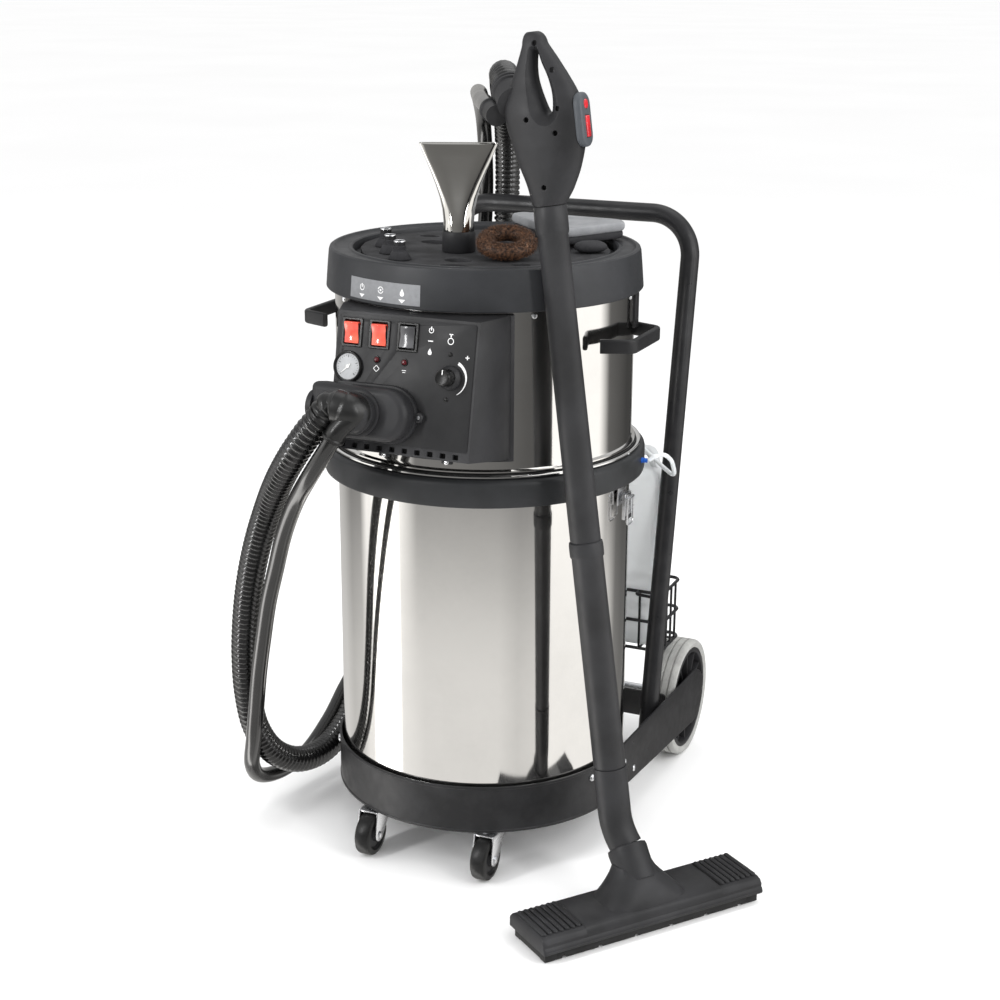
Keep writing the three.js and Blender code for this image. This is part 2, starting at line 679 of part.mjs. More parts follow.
function buildControlBox(parent) {
  const face = new THREE.Group();
  face.position.set(0, PANEL.topY, PANEL.topZ);
  face.rotation.x = PANEL.tilt;
  parent.add(face);
  face.updateMatrix();
  const inFace = (x, down, out) => new THREE.Vector3(x, -down, out).applyMatrix4(face.matrix);

  const { half, length, plate: depth } = PANEL;
  const shell = (inset) => new ConvexGeometry([
    ...[-1, 1].flatMap((s) => [
      inFace(s * (half - inset), inset, -inset),
      inFace(s * (half - inset), length - inset, -inset),
      new THREE.Vector3(s * (112 - inset), -190, 770 - inset),
      new THREE.Vector3(s * (112 - inset), -190, 588 + inset),
      new THREE.Vector3(s * (115 - inset), -150, 770 - inset),
      new THREE.Vector3(s * (115 - inset), -150, 584 + inset),
    ]),
  ]);
  const window = box(2 * half - 6, 157, 8, 0, -81.5, -3).applyMatrix4(face.matrix);
  const slots = [];
  for (let i = 0; i < 10; i++) {
    slots.push(box(8, 6, 8, -78 + i * 17.4, -166, -3).applyMatrix4(face.matrix));
  }
  const drumCut = rod(DRUM_R + GAP, 240, ROUND).translate(0, 0, 560);
  add(parent, 'control_box', cut(shell(0), shell(3), drumCut, window, ...slots), blackPlastic());

  const panelShape = roundedRect(2 * half - 6.6, 156.4, 2);
  let panel = plate(panelShape, depth, 2).translate(0, -81.5, -depth);
  const bezels = SWITCHES.map(({ x }) =>
    box(SWITCH.bezelW, SWITCH.bezelH, depth + SWITCH.bezelT, x, -SWITCH.down, -0.25));
  const wells = SWITCHES.map(({ x }) => box(SWITCH.w + 1, SWITCH.h + 3, 12, x, -SWITCH.down, 0));
  const gaugeHole = rod(GAUGE.bodyR + 0.6, 20, 28).translate(GAUGE.x, -GAUGE.down, -10);
  const lamps = LAMPS.map((x) => rod(LAMP.r, 4, 16).translate(x, -LAMP.down, -1));
  const knobHole = rod(4.5, 20, 16).translate(KNOB.x, -KNOB.down, -10);
  panel = cut(join(panel, ...bezels, ...lamps), ...wells, gaugeHole, knobHole);
  add(face, 'control_panel', panel, blackPlastic());

  const rockerSide = outline([
    [-12.6, -5],
    [12.6, -5],
    [13.5, 2.5],
    [13.2, 5.2],
    [0, 3.4],
    [-13.2, 5.2],
    [-13.5, 2.5],
  ]);
  const rocker = plate(rockerSide, SWITCH.w).rotateX(Math.PI / 2).rotateZ(Math.PI / 2);
  rocker.translate(-SWITCH.w / 2, 0, 0);
  for (const { name, x, tilt } of SWITCHES) {
    const material = tilt ? redPlastic() : clearPlastic();
    const mesh = add(face, name, rocker, material);
    mesh.position.set(x, -SWITCH.down, 0);
    mesh.rotation.x = tilt * SWITCH.tilt;
  }

  const gauge = turned([
    [0, -14],
    [GAUGE.bodyR, -14],
    [GAUGE.bodyR, GAP],
    [GAUGE.r, GAP],
    [GAUGE.r, 4],
    [GAUGE.r - 1, 5],
    [GAUGE.r - 3, 5],
    [GAUGE.r - 3.5, 2],
    [0, 2],
  ], 28);
  add(face, 'pressure_gauge', gauge, blackPlastic()).position.set(GAUGE.x, -GAUGE.down, 0);
  const needle = join(rod(2.4, 1.2, 16), box(1.3, 16, 0.8, 0, 4, 0.6));
  const pointer = add(face, 'gauge_needle', needle, clearPlastic());
  pointer.position.set(GAUGE.x, -GAUGE.down, 2 + GAP);
  pointer.rotation.z = THREE.MathUtils.degToRad(135);

  const knob = turned([
    [0, -12],
    [4, -12],
    [4, GAP],
    [KNOB.r, GAP],
    [KNOB.r, 4],
    [KNOB.r - 2, 7],
    [11, 9],
    [10.5, 23],
    [9, 25],
    [0, 25],
  ], 24);
  add(face, 'steam_knob', knob, blackPlastic()).position.set(KNOB.x, -KNOB.down, 0);

  const stadium = new THREE.Shape();
  stadium.moveTo(-SOCKET.half - 26, -SOCKET.r);
  stadium.lineTo(SOCKET.half, -SOCKET.r);
  stadium.absarc(SOCKET.half, 0, SOCKET.r, -Math.PI / 2, Math.PI / 2);
  stadium.lineTo(-SOCKET.half - 26, SOCKET.r);
  stadium.absarc(-SOCKET.half - 26, SOCKET.r - 8, 8, Math.PI / 2, Math.PI);
  stadium.absarc(-SOCKET.half - 26, -SOCKET.r + 8, 8, Math.PI, 1.5 * Math.PI);
  const socket = bevelled(stadium, SOCKET.depth, 4, 6);
  add(face, 'hose_socket', socket, blackPlastic()).position.set(SOCKET.x, -SOCKET.down, GAP);

  buildHoseElbow(parent, inFace);
}

function buildHoseElbow(parent, inFace) {
  const out = SOCKET.depth + 2 * GAP;
  const root = inFace(ELBOW.x, ELBOW.down, out);
  const collarEnd = inFace(ELBOW.x, ELBOW.down, out + 32);
  const bend = inFace(ELBOW.x - 4, ELBOW.down - 2, out + SUCTION_R + 3.4);
  const branch = inFace(ELBOW.x + 4, ELBOW.down + 6, out + 26);
  const suction = hoseStub(SUCTION_ROUTE, SUCTION_R + 2, 26);
  const steam = hoseStub(STEAM_ROUTE, STEAM_R + 2, 20);
  add(parent, 'hose_elbow', join(
    rodBetween(root, collarEnd, 27, 28),
    rodBetween(bend, suction.start, suction.radius, 20),
    rodBetween(suction.start, suction.end, suction.radius, 20),
    rodBetween(branch, steam.start, steam.radius, 16),
    rodBetween(steam.start, steam.end, steam.radius, 16),
  ), blackPlastic());
}

// ---- Hoses --------------------------------------------------------------------------------------
function buildHose(parent, name, route, radius, steps, material) {
  const curve = new THREE.CatmullRomCurve3(toVectors(route), false, 'centripetal');
  const path = curve.getSpacedPoints(steps);
  const lead = radius / 2;
  const leave = curve.getTangent(0);
  const arrive = curve.getTangent(1);
  path[0].addScaledVector(leave, 2 * GAP);
  path[path.length - 1].addScaledVector(arrive, -2 * GAP);
  path.splice(1, 0, path[0].clone().addScaledVector(leave, lead));
  path.splice(-1, 0, path[path.length - 1].clone().addScaledVector(arrive, -lead));
  add(parent, name, tube(path, radius, 8), material);
}

// ---- Lance: handle, tubes and floor head --------------------------------------------------------
function buildLance(parent) {
  const lance = new THREE.Group();
  const up = LANCE_TOP.clone().sub(LANCE_FOOT).normalize();
  lance.position.copy(LANCE_FOOT);
  lance.quaternion.setFromUnitVectors(new THREE.Vector3(0, 0, 1), up);
  parent.add(lance);
  lance.updateMatrix();
  const toLance = lance.matrix.clone().invert();
  const [low, middle, high] = LANCE_JOINTS;

  const lowerTube = rod(21, middle - low - GAP, 32, 20).translate(0, 0, low + GAP);
  add(lance, 'lance_lower_tube', lowerTube, blackPlastic());
  const upperTube = rod(19.6, high - middle - GAP, 32, 18.6).translate(0, 0, middle + GAP);
  add(lance, 'lance_upper_tube', upperTube, blackPlastic());
  buildGun(lance, high + GAP, toLance);
  buildFloorHead(parent, lance, low);
}

const GUN_BACK = [
  [-20, 0], [-25, 26], [-32, 50], [-37, 74], [-42, 96], [-44, 116], [-37, 136], [-26, 158],
  [-17, 178], [-9, 196], [-1, 204.5],
];
const GUN_FRONT = [
  [8, 204], [18, 194], [29, 174], [41, 152], [51, 130], [56, 108], [56, 84], [51, 62], [43, 38],
  [32, 16], [21, 0],
];
const GUN_EYE = [[7, 186], [13, 166], [20, 148], [23, 128], [21, 108], [14, 108], [6, 126],
  [0, 148], [1, 168]];

function buildGun(lance, bottom, toLance) {
  const edge = new THREE.SplineCurve([...GUN_BACK, ...GUN_FRONT].map((p) => new THREE.Vector2(...p)));
  const eye = new THREE.SplineCurve([...GUN_EYE, GUN_EYE[0]].map((p) => new THREE.Vector2(...p)));
  const depth = 22;
  const outside = bevelled(new THREE.Shape(edge.getPoints(36)), depth, 4);
  const through = plate(new THREE.Shape(eye.getPoints(16).slice(0, -1)), 60).translate(0, 0, -20);
  const half = cut(outside, through).rotateX(Math.PI / 2);
  const stubs = [
    hoseStub(SUCTION_ROUTE, SUCTION_R + 2, 44, true),
    hoseStub(STEAM_ROUTE, STEAM_R + 2, 46, true),
  ].map(({ start, end, radius }) => ({
    start: start.applyMatrix4(toLance),
    end: end.applyMatrix4(toLance),
    radius,
  }));
  const stubCuts = (from) => stubs.map(({ start, end, radius }) => {
    const near = start.clone().lerp(end, from);
    const beyond = start.clone().lerp(end, 1.6);
    return rodBetween(near, beyond, radius + 0.5, 20);
  });
  const stubSolids = stubs.map(({ start, end, radius }) => rodBetween(start, end, radius, 20));
  const padCut = box(14, 30, 64, 56, 0, bottom + 96);
  const front = cut(half.clone().translate(0, -GAP / 2, bottom), ...stubCuts(-0.05), padCut);
  const rear = cut(half.clone().translate(0, depth + GAP / 2, bottom), ...stubCuts(0.5), padCut);
  add(lance, 'gun_shell_front', front, blackPlastic());
  add(lance, 'gun_shell_rear', join(rear, ...stubSolids), blackPlastic());

  const padBody = bevelled(roundedRect(29, 62, 13), 10, 2.5, 4);
  padBody.rotateZ(Math.PI / 2).rotateY(Math.PI / 2);
  const buttonR = 6;
  const pad = cut(
    padBody.translate(49 + GAP, 0, bottom + 96),
    rod(buttonR + GAP, 12, 20).rotateY(Math.PI / 2).translate(54, 0, bottom + 114),
    box(12, 12.6, 26.6, 60, 0, bottom + 88),
  );
  add(lance, 'gun_button_pad', pad, greyPlastic());
  const steamButton = rod(buttonR, 5.4, 20).rotateY(Math.PI / 2);
  add(lance, 'steam_button', steamButton, redPlastic()).position.set(55.8, 0, bottom + 114);
  const suctionButton = box(5.4, 12, 26, 2.7, 0, 0);
  add(lance, 'suction_button', suctionButton, redPlastic()).position.set(55.8, 0, bottom + 88);
}

function buildFloorHead(parent, lance, low) {
  const tool = new THREE.Group();
  tool.position.set(TOOL.x, TOOL.y, 0);
  tool.rotation.z = TOOL.yaw;
  parent.add(tool);
  tool.updateMatrix();
  const { length, depth } = TOOL;

  // Tool frame: +X along the width, -Y towards the front lip, +Z up.
  const slab = bevelled(roundedRect(length, depth, 12), 24, 3, 4).translate(0, 0, 13);
  const hump = lofted([
    oval(62, 36, 30, 0, 0, 3, 24),
    oval(48, 33, 46, 0, 2, 2.6, 24),
    oval(34, 30, 60, 0, 8, 2.2, 24),
    oval(26, 26, 72, 0, 16, 2, 24),
  ]);
  const socketStart = new THREE.Vector3(0, 2, 52);
  const socketEnd = new THREE.Vector3(0, 32, 88);
  const socket = rodBetween(socketStart, socketEnd, 26, 28);
  add(tool, 'floor_head', join(slab, hump, socket), blackPlastic());
  const strip = box(length - 10, depth - 14, 11.5, 0, 0, 0.6 + 5.75);
  const slot = box(length - 44, depth - 50, 20, 0, 0, 6);
  add(tool, 'floor_squeegee', cut(strip, slot), blackRubber());

  const start = new THREE.Vector3(0, 0, low).applyMatrix4(lance.matrix);
  const corner = new THREE.Vector3(0, 0, -26).applyMatrix4(lance.matrix);
  const end = socketEnd.clone().applyMatrix4(tool.matrix);
  end.addScaledVector(corner.clone().sub(end).normalize(), 4);
  const path = rounded([start, corner, end].map((p) => p.toArray()), 70, 6);
  add(parent, 'lance_bend', tube(path, 22, 24), blackPlastic());
}

// ---- Accessories on the lid ---------------------------------------------------------------------
function buildAccessories(parent) {
  const seat = TRAY.top + GAP;
  const nozzle = new THREE.Group();
  nozzle.position.set(-20, -40, seat);
  nozzle.rotation.z = 0.42;
  parent.add(nozzle);
  const fan = lofted([
    oval(20, 20, 26, 0, 0, 2),
    oval(20, 19, 40, 0, 0, 2),
    oval(25, 15, 70, 0, 0, 2.4),
    oval(37, 11, 105, 0, 0, 3),
    oval(51, 8, 140, 0, 0, 4),
  ]);
  const collar = turned([[0, 0], [22, 0], [22, 20], [21, 27], [0, 27]], 32);
  add(nozzle, 'fan_nozzle', join(fan, collar), chrome());

  const brush = turned([
    [15, 2],
    [19, 0],
    [34, 0],
    [41, 9],
    [39, 22],
    [31, 27],
    [21, 24],
    [15, 12],
    [15, 2],
  ], 28);
  add(parent, 'round_brush', brush, blackRubber()).position.set(58, -62, seat);

  const jetPlaces = [[-125, -44], [-94, -92], [-60, -132]];
  const strip = rodBetween(
    new THREE.Vector3(...jetPlaces[0], 1.6),
    new THREE.Vector3(...jetPlaces[2], 1.6),
    1.6,
    8,
  );
  const jets = jetPlaces.map(([x, y]) => turned([
    [0, 0], [15, 0], [10, 10], [9, 17], [7.5, 17], [7.5, 24], [0, 24],
  ], 16).translate(x, y, 0));
  add(parent, 'jet_set', join(strip, ...jets), blackPlastic()).position.z = seat;

  const padShape = outline([[-92, 42], [-86, 62], [70, 52], [84, 30], [40, -62], [16, -68]]);
  const pad = new THREE.Group();
  pad.position.set(70, 92, LID.top + GAP);
  parent.add(pad);
  add(pad, 'window_pad', bevelled(padShape, 22, 6, 2), greyPlastic());
}

// ---- Dosing tube --------------------------------------------------------------------------------
const DOSING_ROUTE = [
  [226, 32.4, 545.3], [234, 36, 551], [242, 48, 551], [246, 66, 540], [243, 88, 524], [236, 114, 508],
  [224, 142, 497], [206, 170, 494], [182, 196, 498], [152, 220, 508], [118, 240, 517],
  [82, 258, 522], [46, 274, 520], [14, 288, 512], [-10, 296, 500], [-23, 299, 490],
];

// ---- Assembly -----------------------------------------------------------------------------------
const machine = new THREE.Group();
buildChassis(machine);
buildRearWheels(machine);
buildCasters(machine);
buildTank(machine);
buildLatches(machine);
buildPushHandle(machine);
buildBasket(machine);
buildCanister(machine);
buildHead(machine);
buildLid(machine);
buildSideHandles(machine);
buildControlBox(machine);
buildLance(machine);
buildAccessories(machine);

// The origin is on the floor, under the middle of the machine's box measured without its hoses.
const extent = new THREE.Box3().setFromObject(machine, true);
const middle = extent.getCenter(new THREE.Vector3());
machine.position.set(-middle.x, -middle.y, 0);

buildHose(machine, 'suction_hose', SUCTION_ROUTE, SUCTION_R, 40, blackPlastic());
buildHose(machine, 'steam_hose', STEAM_ROUTE, STEAM_R, 48, blackRubber());
buildHose(machine, 'dosing_tube', DOSING_ROUTE, 3, 30, clearPlastic());

export default machine;
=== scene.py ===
"""Looks of a steam cleaner with wet suction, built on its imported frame.

Lengths in this script are millimetres in the machine's own axes, with the tank's axis at
X = Y = 0 and the floor at Z = 0. place() turns them into metres in the row frame.
"""

import math
import random

import bmesh
import bpy
import numpy as np
from mathutils import Matrix, Vector
from mathutils.geometry import tessellate_polygon


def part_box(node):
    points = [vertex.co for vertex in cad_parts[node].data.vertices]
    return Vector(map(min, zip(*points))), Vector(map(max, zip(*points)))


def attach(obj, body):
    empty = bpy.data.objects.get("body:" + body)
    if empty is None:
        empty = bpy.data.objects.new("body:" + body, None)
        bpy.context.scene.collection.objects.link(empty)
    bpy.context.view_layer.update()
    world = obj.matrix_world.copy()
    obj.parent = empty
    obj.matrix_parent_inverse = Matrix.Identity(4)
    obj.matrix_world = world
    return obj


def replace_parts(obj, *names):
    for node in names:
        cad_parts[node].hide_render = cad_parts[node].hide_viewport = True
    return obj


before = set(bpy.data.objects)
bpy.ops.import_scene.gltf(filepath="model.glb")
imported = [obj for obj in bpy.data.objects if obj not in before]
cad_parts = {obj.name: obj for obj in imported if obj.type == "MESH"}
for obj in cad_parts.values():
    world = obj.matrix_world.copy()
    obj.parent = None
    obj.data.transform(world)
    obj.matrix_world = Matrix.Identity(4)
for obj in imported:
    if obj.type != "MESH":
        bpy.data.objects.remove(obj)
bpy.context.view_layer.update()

tank_low, tank_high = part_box("recovery_tank")
AXIS = Vector(((tank_low.x + tank_high.x) / 2, (tank_low.y + tank_high.y) / 2, 0))
scene = bpy.context.scene
random.seed(7)


def place(x, y, z):
    return Vector((x / 1000 + AXIS.x, y / 1000 + AXIS.y, z / 1000))


# ---- Camera --------------------------------------------------------------------------------------
# Matched to the photograph: turn, dip and roll in degrees, and its place in machine millimetres.
CAMERA_LENS = 64.70
CAMERA_TURN, CAMERA_DIP, CAMERA_ROLL = 23.752, 17.0, 0.295
CAMERA_AT = (977.7, -2168.9, 1197.4)

camera_data = bpy.data.cameras.new("camera")
camera_data.sensor_width = 36
camera_data.lens = CAMERA_LENS
camera = bpy.data.objects.new("camera", camera_data)
scene.collection.objects.link(camera)
turn = (
    Matrix.Rotation(math.radians(CAMERA_TURN), 4, "Z")
    @ Matrix.Rotation(math.radians(90 - CAMERA_DIP), 4, "X")
    @ Matrix.Rotation(math.radians(CAMERA_ROLL), 4, "Z")
)
camera.matrix_world = Matrix.Translation(place(*CAMERA_AT)) @ turn
camera_data.clip_end = 100
scene.camera = camera


# ---- Materials -----------------------------------------------------------------------------------
class Nodes:
    """A short way to write one material's node tree."""

    def __init__(self, name):
        self.material = bpy.data.materials.new(name)
        self.material.use_nodes = True
        self.tree = self.material.node_tree
        self.shader = self.tree.nodes["Principled BSDF"]
        self.coords = self.add("ShaderNodeTexCoord").outputs["Object"]

    def add(self, kind, **settings):
        node = self.tree.nodes.new(kind)
        for key, value in settings.items():
            setattr(node, key, value)
        return node

    def link(self, source, target):
        self.tree.links.new(source, target)

    def stretched(self, scale):
        mapping = self.add("ShaderNodeMapping")
        mapping.inputs["Scale"].default_value = scale
        self.link(self.coords, mapping.inputs["Vector"])
        return mapping.outputs["Vector"]

    def noise(self, scale, detail=4.0, roughness=0.55, vector=None):
        node = self.add("ShaderNodeTexNoise")
        node.inputs["Scale"].default_value = scale
        node.inputs["Detail"].default_value = detail
        node.inputs["Roughness"].default_value = roughness
        self.link(vector or self.coords, node.inputs["Vector"])
        return node.outputs["Fac"]

    def ramp(self, source, low, high, start=0.3, end=0.7):
        node = self.add("ShaderNodeMapRange")
        node.inputs["From Min"].default_value = start
        node.inputs["From Max"].default_value = end
        node.inputs["To Min"].default_value = low
        node.inputs["To Max"].default_value = high
        self.link(source, node.inputs["Value"])
        return node.outputs["Result"]

    def blend(self, source, first, second, start=0.35, end=0.65):
        node = self.add("ShaderNodeValToRGB")
        node.color_ramp.elements[0].position = start
        node.color_ramp.elements[0].color = (*first, 1)
        node.color_ramp.elements[1].position = end
        node.color_ramp.elements[1].color = (*second, 1)
        self.link(source, node.inputs["Fac"])
        return node.outputs["Color"]

    def bump(self, source, strength, distance):
        node = self.add("ShaderNodeBump")
        node.inputs["Strength"].default_value = strength
        node.inputs["Distance"].default_value = distance
        self.link(source, node.inputs["Height"])
        self.link(node.outputs["Normal"], self.shader.inputs["Normal"])

    def to(self, socket, source):
        if isinstance(source, (int, float, tuple)):
            self.shader.inputs[socket].default_value = source
        else:
            self.link(source, self.shader.inputs[socket])


def moulded(name, dark, light, rough, grain=900, depth=0.00012, strength=0.25, shine=0.24,
            coat=0.0):
    """Moulded plastic: a fine spark-eroded grain, slight tone changes and uneven gloss."""
    n = Nodes(name)
    n.to("Base Color", n.blend(n.noise(14, 5), dark, light))
    n.to("Roughness", n.ramp(n.noise(35, 4), rough - 0.05, rough + 0.07))
    n.to("Specular IOR Level", shine)
    n.to("Coat Weight", coat)
    n.to("Coat Roughness", 0.1)
    n.bump(n.noise(grain, 3, 0.6), strength, depth)
    return n.material


def polished_steel(name, low, high, streak, tint=(0.80, 0.79, 0.77)):
    """Bright rolled sheet: fine streaks round the drum and faint handling marks."""
    n = Nodes(name)
    streaks = n.noise(90, 3, 0.6, n.stretched((1, 1, streak)))
    marks = n.noise(6, 6, 0.7)
    dim = tuple(c * 0.93 for c in tint)
    n.to("Base Color", n.blend(marks, dim, tint, 0.3, 0.6))
    n.to("Metallic", 1.0)
    mix = n.add("ShaderNodeMath", operation="MULTIPLY")
    n.link(n.ramp(streaks, 0.8, 1.25), mix.inputs[0])
    n.link(n.ramp(marks, low, high), mix.inputs[1])
    n.to("Roughness", mix.outputs[0])
    n.bump(streaks, 0.03, 0.00004)
    return n.material


def painted(name, colour, rough):
    """Powder coat: orange-peel bump and a little wear in the tone."""
    n = Nodes(name)
    lighter = tuple(c * 1.7 + 0.004 for c in colour)
    n.to("Base Color", n.blend(n.noise(25, 6, 0.65), colour, lighter, 0.4, 0.8))
    n.to("Roughness", n.ramp(n.noise(60, 3), rough - 0.06, rough + 0.08))
    n.to("Specular IOR Level", 0.28)
    n.bump(n.noise(520, 2, 0.5), 0.18, 0.0002)
    return n.material


def rubber(name, dark, light, rough):
    n = Nodes(name)
    n.to("Base Color", n.blend(n.noise(40, 6, 0.7), dark, light))
    n.to("Roughness", n.ramp(n.noise(80, 4), rough - 0.08, rough + 0.06))
    n.to("Specular IOR Level", 0.22)
    n.bump(n.noise(700, 4, 0.65), 0.35, 0.0002)
    return n.material


def bristles(name):
    n = Nodes(name)
    fibre = n.noise(260, 5, 0.7)
    n.to("Base Color", n.blend(fibre, (0.020, 0.008, 0.004), (0.26, 0.12, 0.055), 0.42, 0.72))
    n.to("Roughness", 0.65)
    n.bump(fibre, 0.5, 0.0004)
    return n.material


def milky(name, tint):
    """Translucent blow-moulded plastic."""
    n = Nodes(name)
    lighter = tuple(min(1.0, c * 1.06) for c in tint)
    n.to("Base Color", n.blend(n.noise(9, 3), tint, lighter))
    n.to("Roughness", n.ramp(n.noise(50, 3), 0.28, 0.42))
    n.to("Transmission Weight", 0.35)
    n.to("IOR", 1.5)
    n.to("Subsurface Weight", 0.25)
    n.to("Subsurface Radius", (0.02, 0.02, 0.02))
    n.bump(n.noise(120, 3), 0.08, 0.0006)
    return n.material


def glowing_red(name, colour, deep):
    """Tinted see-through red plastic with a faint emission glow: painted light on the rockers and the
    gun's button.
    """
    n = Nodes(name)
    n.to("Base Color", n.blend(n.noise(60, 3), deep, colour, 0.3, 0.7))
    n.to("Roughness", n.ramp(n.noise(90, 2), 0.12, 0.22))
    n.to("Coat Weight", 0.6)
    # Faint emission in the base colour: a painted glow wherever this is not a lamp.
    n.to("Emission Color", (*colour, 1))
    n.to("Emission Strength", 0.12)
    n.bump(n.noise(300, 2), 0.05, 0.0001)
    return n.material


def printed(name, colour):
    n = Nodes(name)
    darker = tuple(c * 0.85 for c in colour)
    n.to("Base Color", n.blend(n.noise(180, 4), darker, colour, 0.3, 0.6))
    n.to("Roughness", n.ramp(n.noise(90, 3), 0.35, 0.5))
    n.bump(n.noise(600, 2), 0.1, 0.00005)
    return n.material


STEEL = polished_steel("drum_steel", 0.045, 0.09, 60)
BRIGHT = polished_steel("bright_steel", 0.03, 0.07, 8, (0.86, 0.86, 0.85))
CHROME = polished_steel("chrome_plate", 0.04, 0.08, 1, (0.70, 0.69, 0.66))
ZINC = polished_steel("zinc_plate", 0.22, 0.36, 3, (0.74, 0.75, 0.77))
FRAME_PAINT = painted("black_powder_coat", (0.012, 0.012, 0.013), 0.33)
BAND_PAINT = painted("band_paint", (0.014, 0.014, 0.015), 0.42)
WIRE_PAINT = painted("wire_paint", (0.010, 0.010, 0.011), 0.28)
PANEL_BLACK = moulded("panel_black", (0.012, 0.012, 0.013), (0.019, 0.019, 0.020), 0.42)
SHELL_BLACK = moulded("shell_black", (0.016, 0.016, 0.017), (0.026, 0.026, 0.028), 0.46)
LANCE_BLACK = moulded("lance_black", (0.020, 0.020, 0.021), (0.030, 0.030, 0.032), 0.45, 700)
GLOSS_BLACK = moulded("gloss_black", (0.004, 0.004, 0.004), (0.008, 0.008, 0.008), 0.16, 300,
                      0.00005, shine=0.5, coat=0.5)
HOSE_BLACK = moulded("hose_black", (0.003, 0.003, 0.003), (0.007, 0.007, 0.007), 0.24, 260, 0.00004,
                     strength=0.12, shine=0.45, coat=0.4)
BEZEL_BLACK = moulded("bezel_black", (0.006, 0.006, 0.006), (0.011, 0.011, 0.011), 0.30, 300,
                      0.00005, shine=0.3)
CUFF_BLACK = moulded("cuff_black", (0.006, 0.006, 0.006), (0.011, 0.011, 0.011), 0.30, 500, 0.00004,
                     shine=0.4)
LID_GREY = moulded("lid_grey", (0.022, 0.023, 0.025), (0.030, 0.031, 0.034), 0.42, 800)
RING_GREY = moulded("ring_grey", (0.020, 0.021, 0.022), (0.028, 0.029, 0.031), 0.40, 800)
TRAY_BLACK = rubber("tray_foam", (0.018, 0.018, 0.019), (0.045, 0.045, 0.048), 0.85)
TYRE_GREY = rubber("tyre_grey", (0.30, 0.30, 0.29), (0.40, 0.40, 0.385), 0.66)
RUBBER_BLACK = rubber("rubber_black", (0.010, 0.010, 0.010), (0.022, 0.022, 0.022), 0.6)
ROLLER_BLACK = rubber("roller_black", (0.008, 0.008, 0.008), (0.018, 0.018, 0.018), 0.35)
PAD_GREY = rubber("pad_grey", (0.21, 0.215, 0.225), (0.28, 0.285, 0.295), 0.8)
PAD_BUTTON = moulded("button_pad_grey", (0.060, 0.066, 0.074), (0.078, 0.084, 0.092), 0.42, 800)
PAD_DARK = rubber("pad_dark", (0.02, 0.02, 0.022), (0.035, 0.035, 0.038), 0.75)
BRISTLE = bristles("bristle")
MILKY = milky("milky_plastic", (0.84, 0.86, 0.87))
CLEAR = milky("clear_tube", (0.90, 0.93, 0.95))
# The rockers and the gun's button get a faint painted glow; the panel lamps are lamps.
RED = glowing_red("red_rocker", (0.88, 0.14, 0.085), (0.55, 0.05, 0.035))
LAMP_RED = glowing_red("lamp_red", (0.09, 0.002, 0.006), (0.035, 0.001, 0.003))
# Near-black for the floors of the tray's recesses: painted shade, darker than the foam itself.
PIT_SHADE_BLACK = rubber("pit_shade_black", (0.002, 0.002, 0.002), (0.004, 0.004, 0.004), 0.9)
SMOKE = moulded("smoked_rocker", (0.05, 0.05, 0.053), (0.11, 0.11, 0.115), 0.15, 300, 0.00005,
                shine=0.6)
RED_BUTTON = glowing_red("red_button", (0.62, 0.02, 0.03), (0.30, 0.01, 0.015))
WHITE_PRINT = printed("white_print", (0.82, 0.82, 0.82))
SILVER_LABEL = printed("silver_label", (0.20, 0.205, 0.215))
DIAL_GREY = printed("dial_face", (0.42, 0.43, 0.44))
ORANGE_PRINT = printed("orange_print", (0.75, 0.30, 0.06))
PAPER = printed("paper_label", (0.80, 0.80, 0.78))
BLUE = moulded("blue_fitting", (0.02, 0.10, 0.45), (0.03, 0.14, 0.55), 0.3)
BRASS = polished_steel("brass", 0.2, 0.3, 3, (0.72, 0.53, 0.25))


# ---- Mesh building -------------------------------------------------------------------------------
class Shape:
    """Points in millimetres and faces that index them."""

    def __init__(self, points=(), faces=()):
        self.points = [Vector(p) for p in points]
        self.faces = [tuple(f) for f in faces]

    def moved(self, matrix):
        return Shape([matrix @ p for p in self.points], self.faces)

    def at(self, x, y, z):
        return self.moved(Matrix.Translation((x, y, z)))

    def turned(self, degrees, axis):
        return self.moved(Matrix.Rotation(math.radians(degrees), 4, axis))

    def mirrored(self):
        points = [Vector((-p.x, p.y, p.z)) for p in self.points]
        return Shape(points, [tuple(reversed(f)) for f in self.faces])

    def __add__(self, other):
        shift = len(self.points)
        faces = [tuple(i + shift for i in f) for f in other.faces]
        return Shape(self.points + other.points, self.faces + faces)


def total(shapes):
    joined = Shape()
    for shape in shapes:
        joined = joined + shape
    return joined


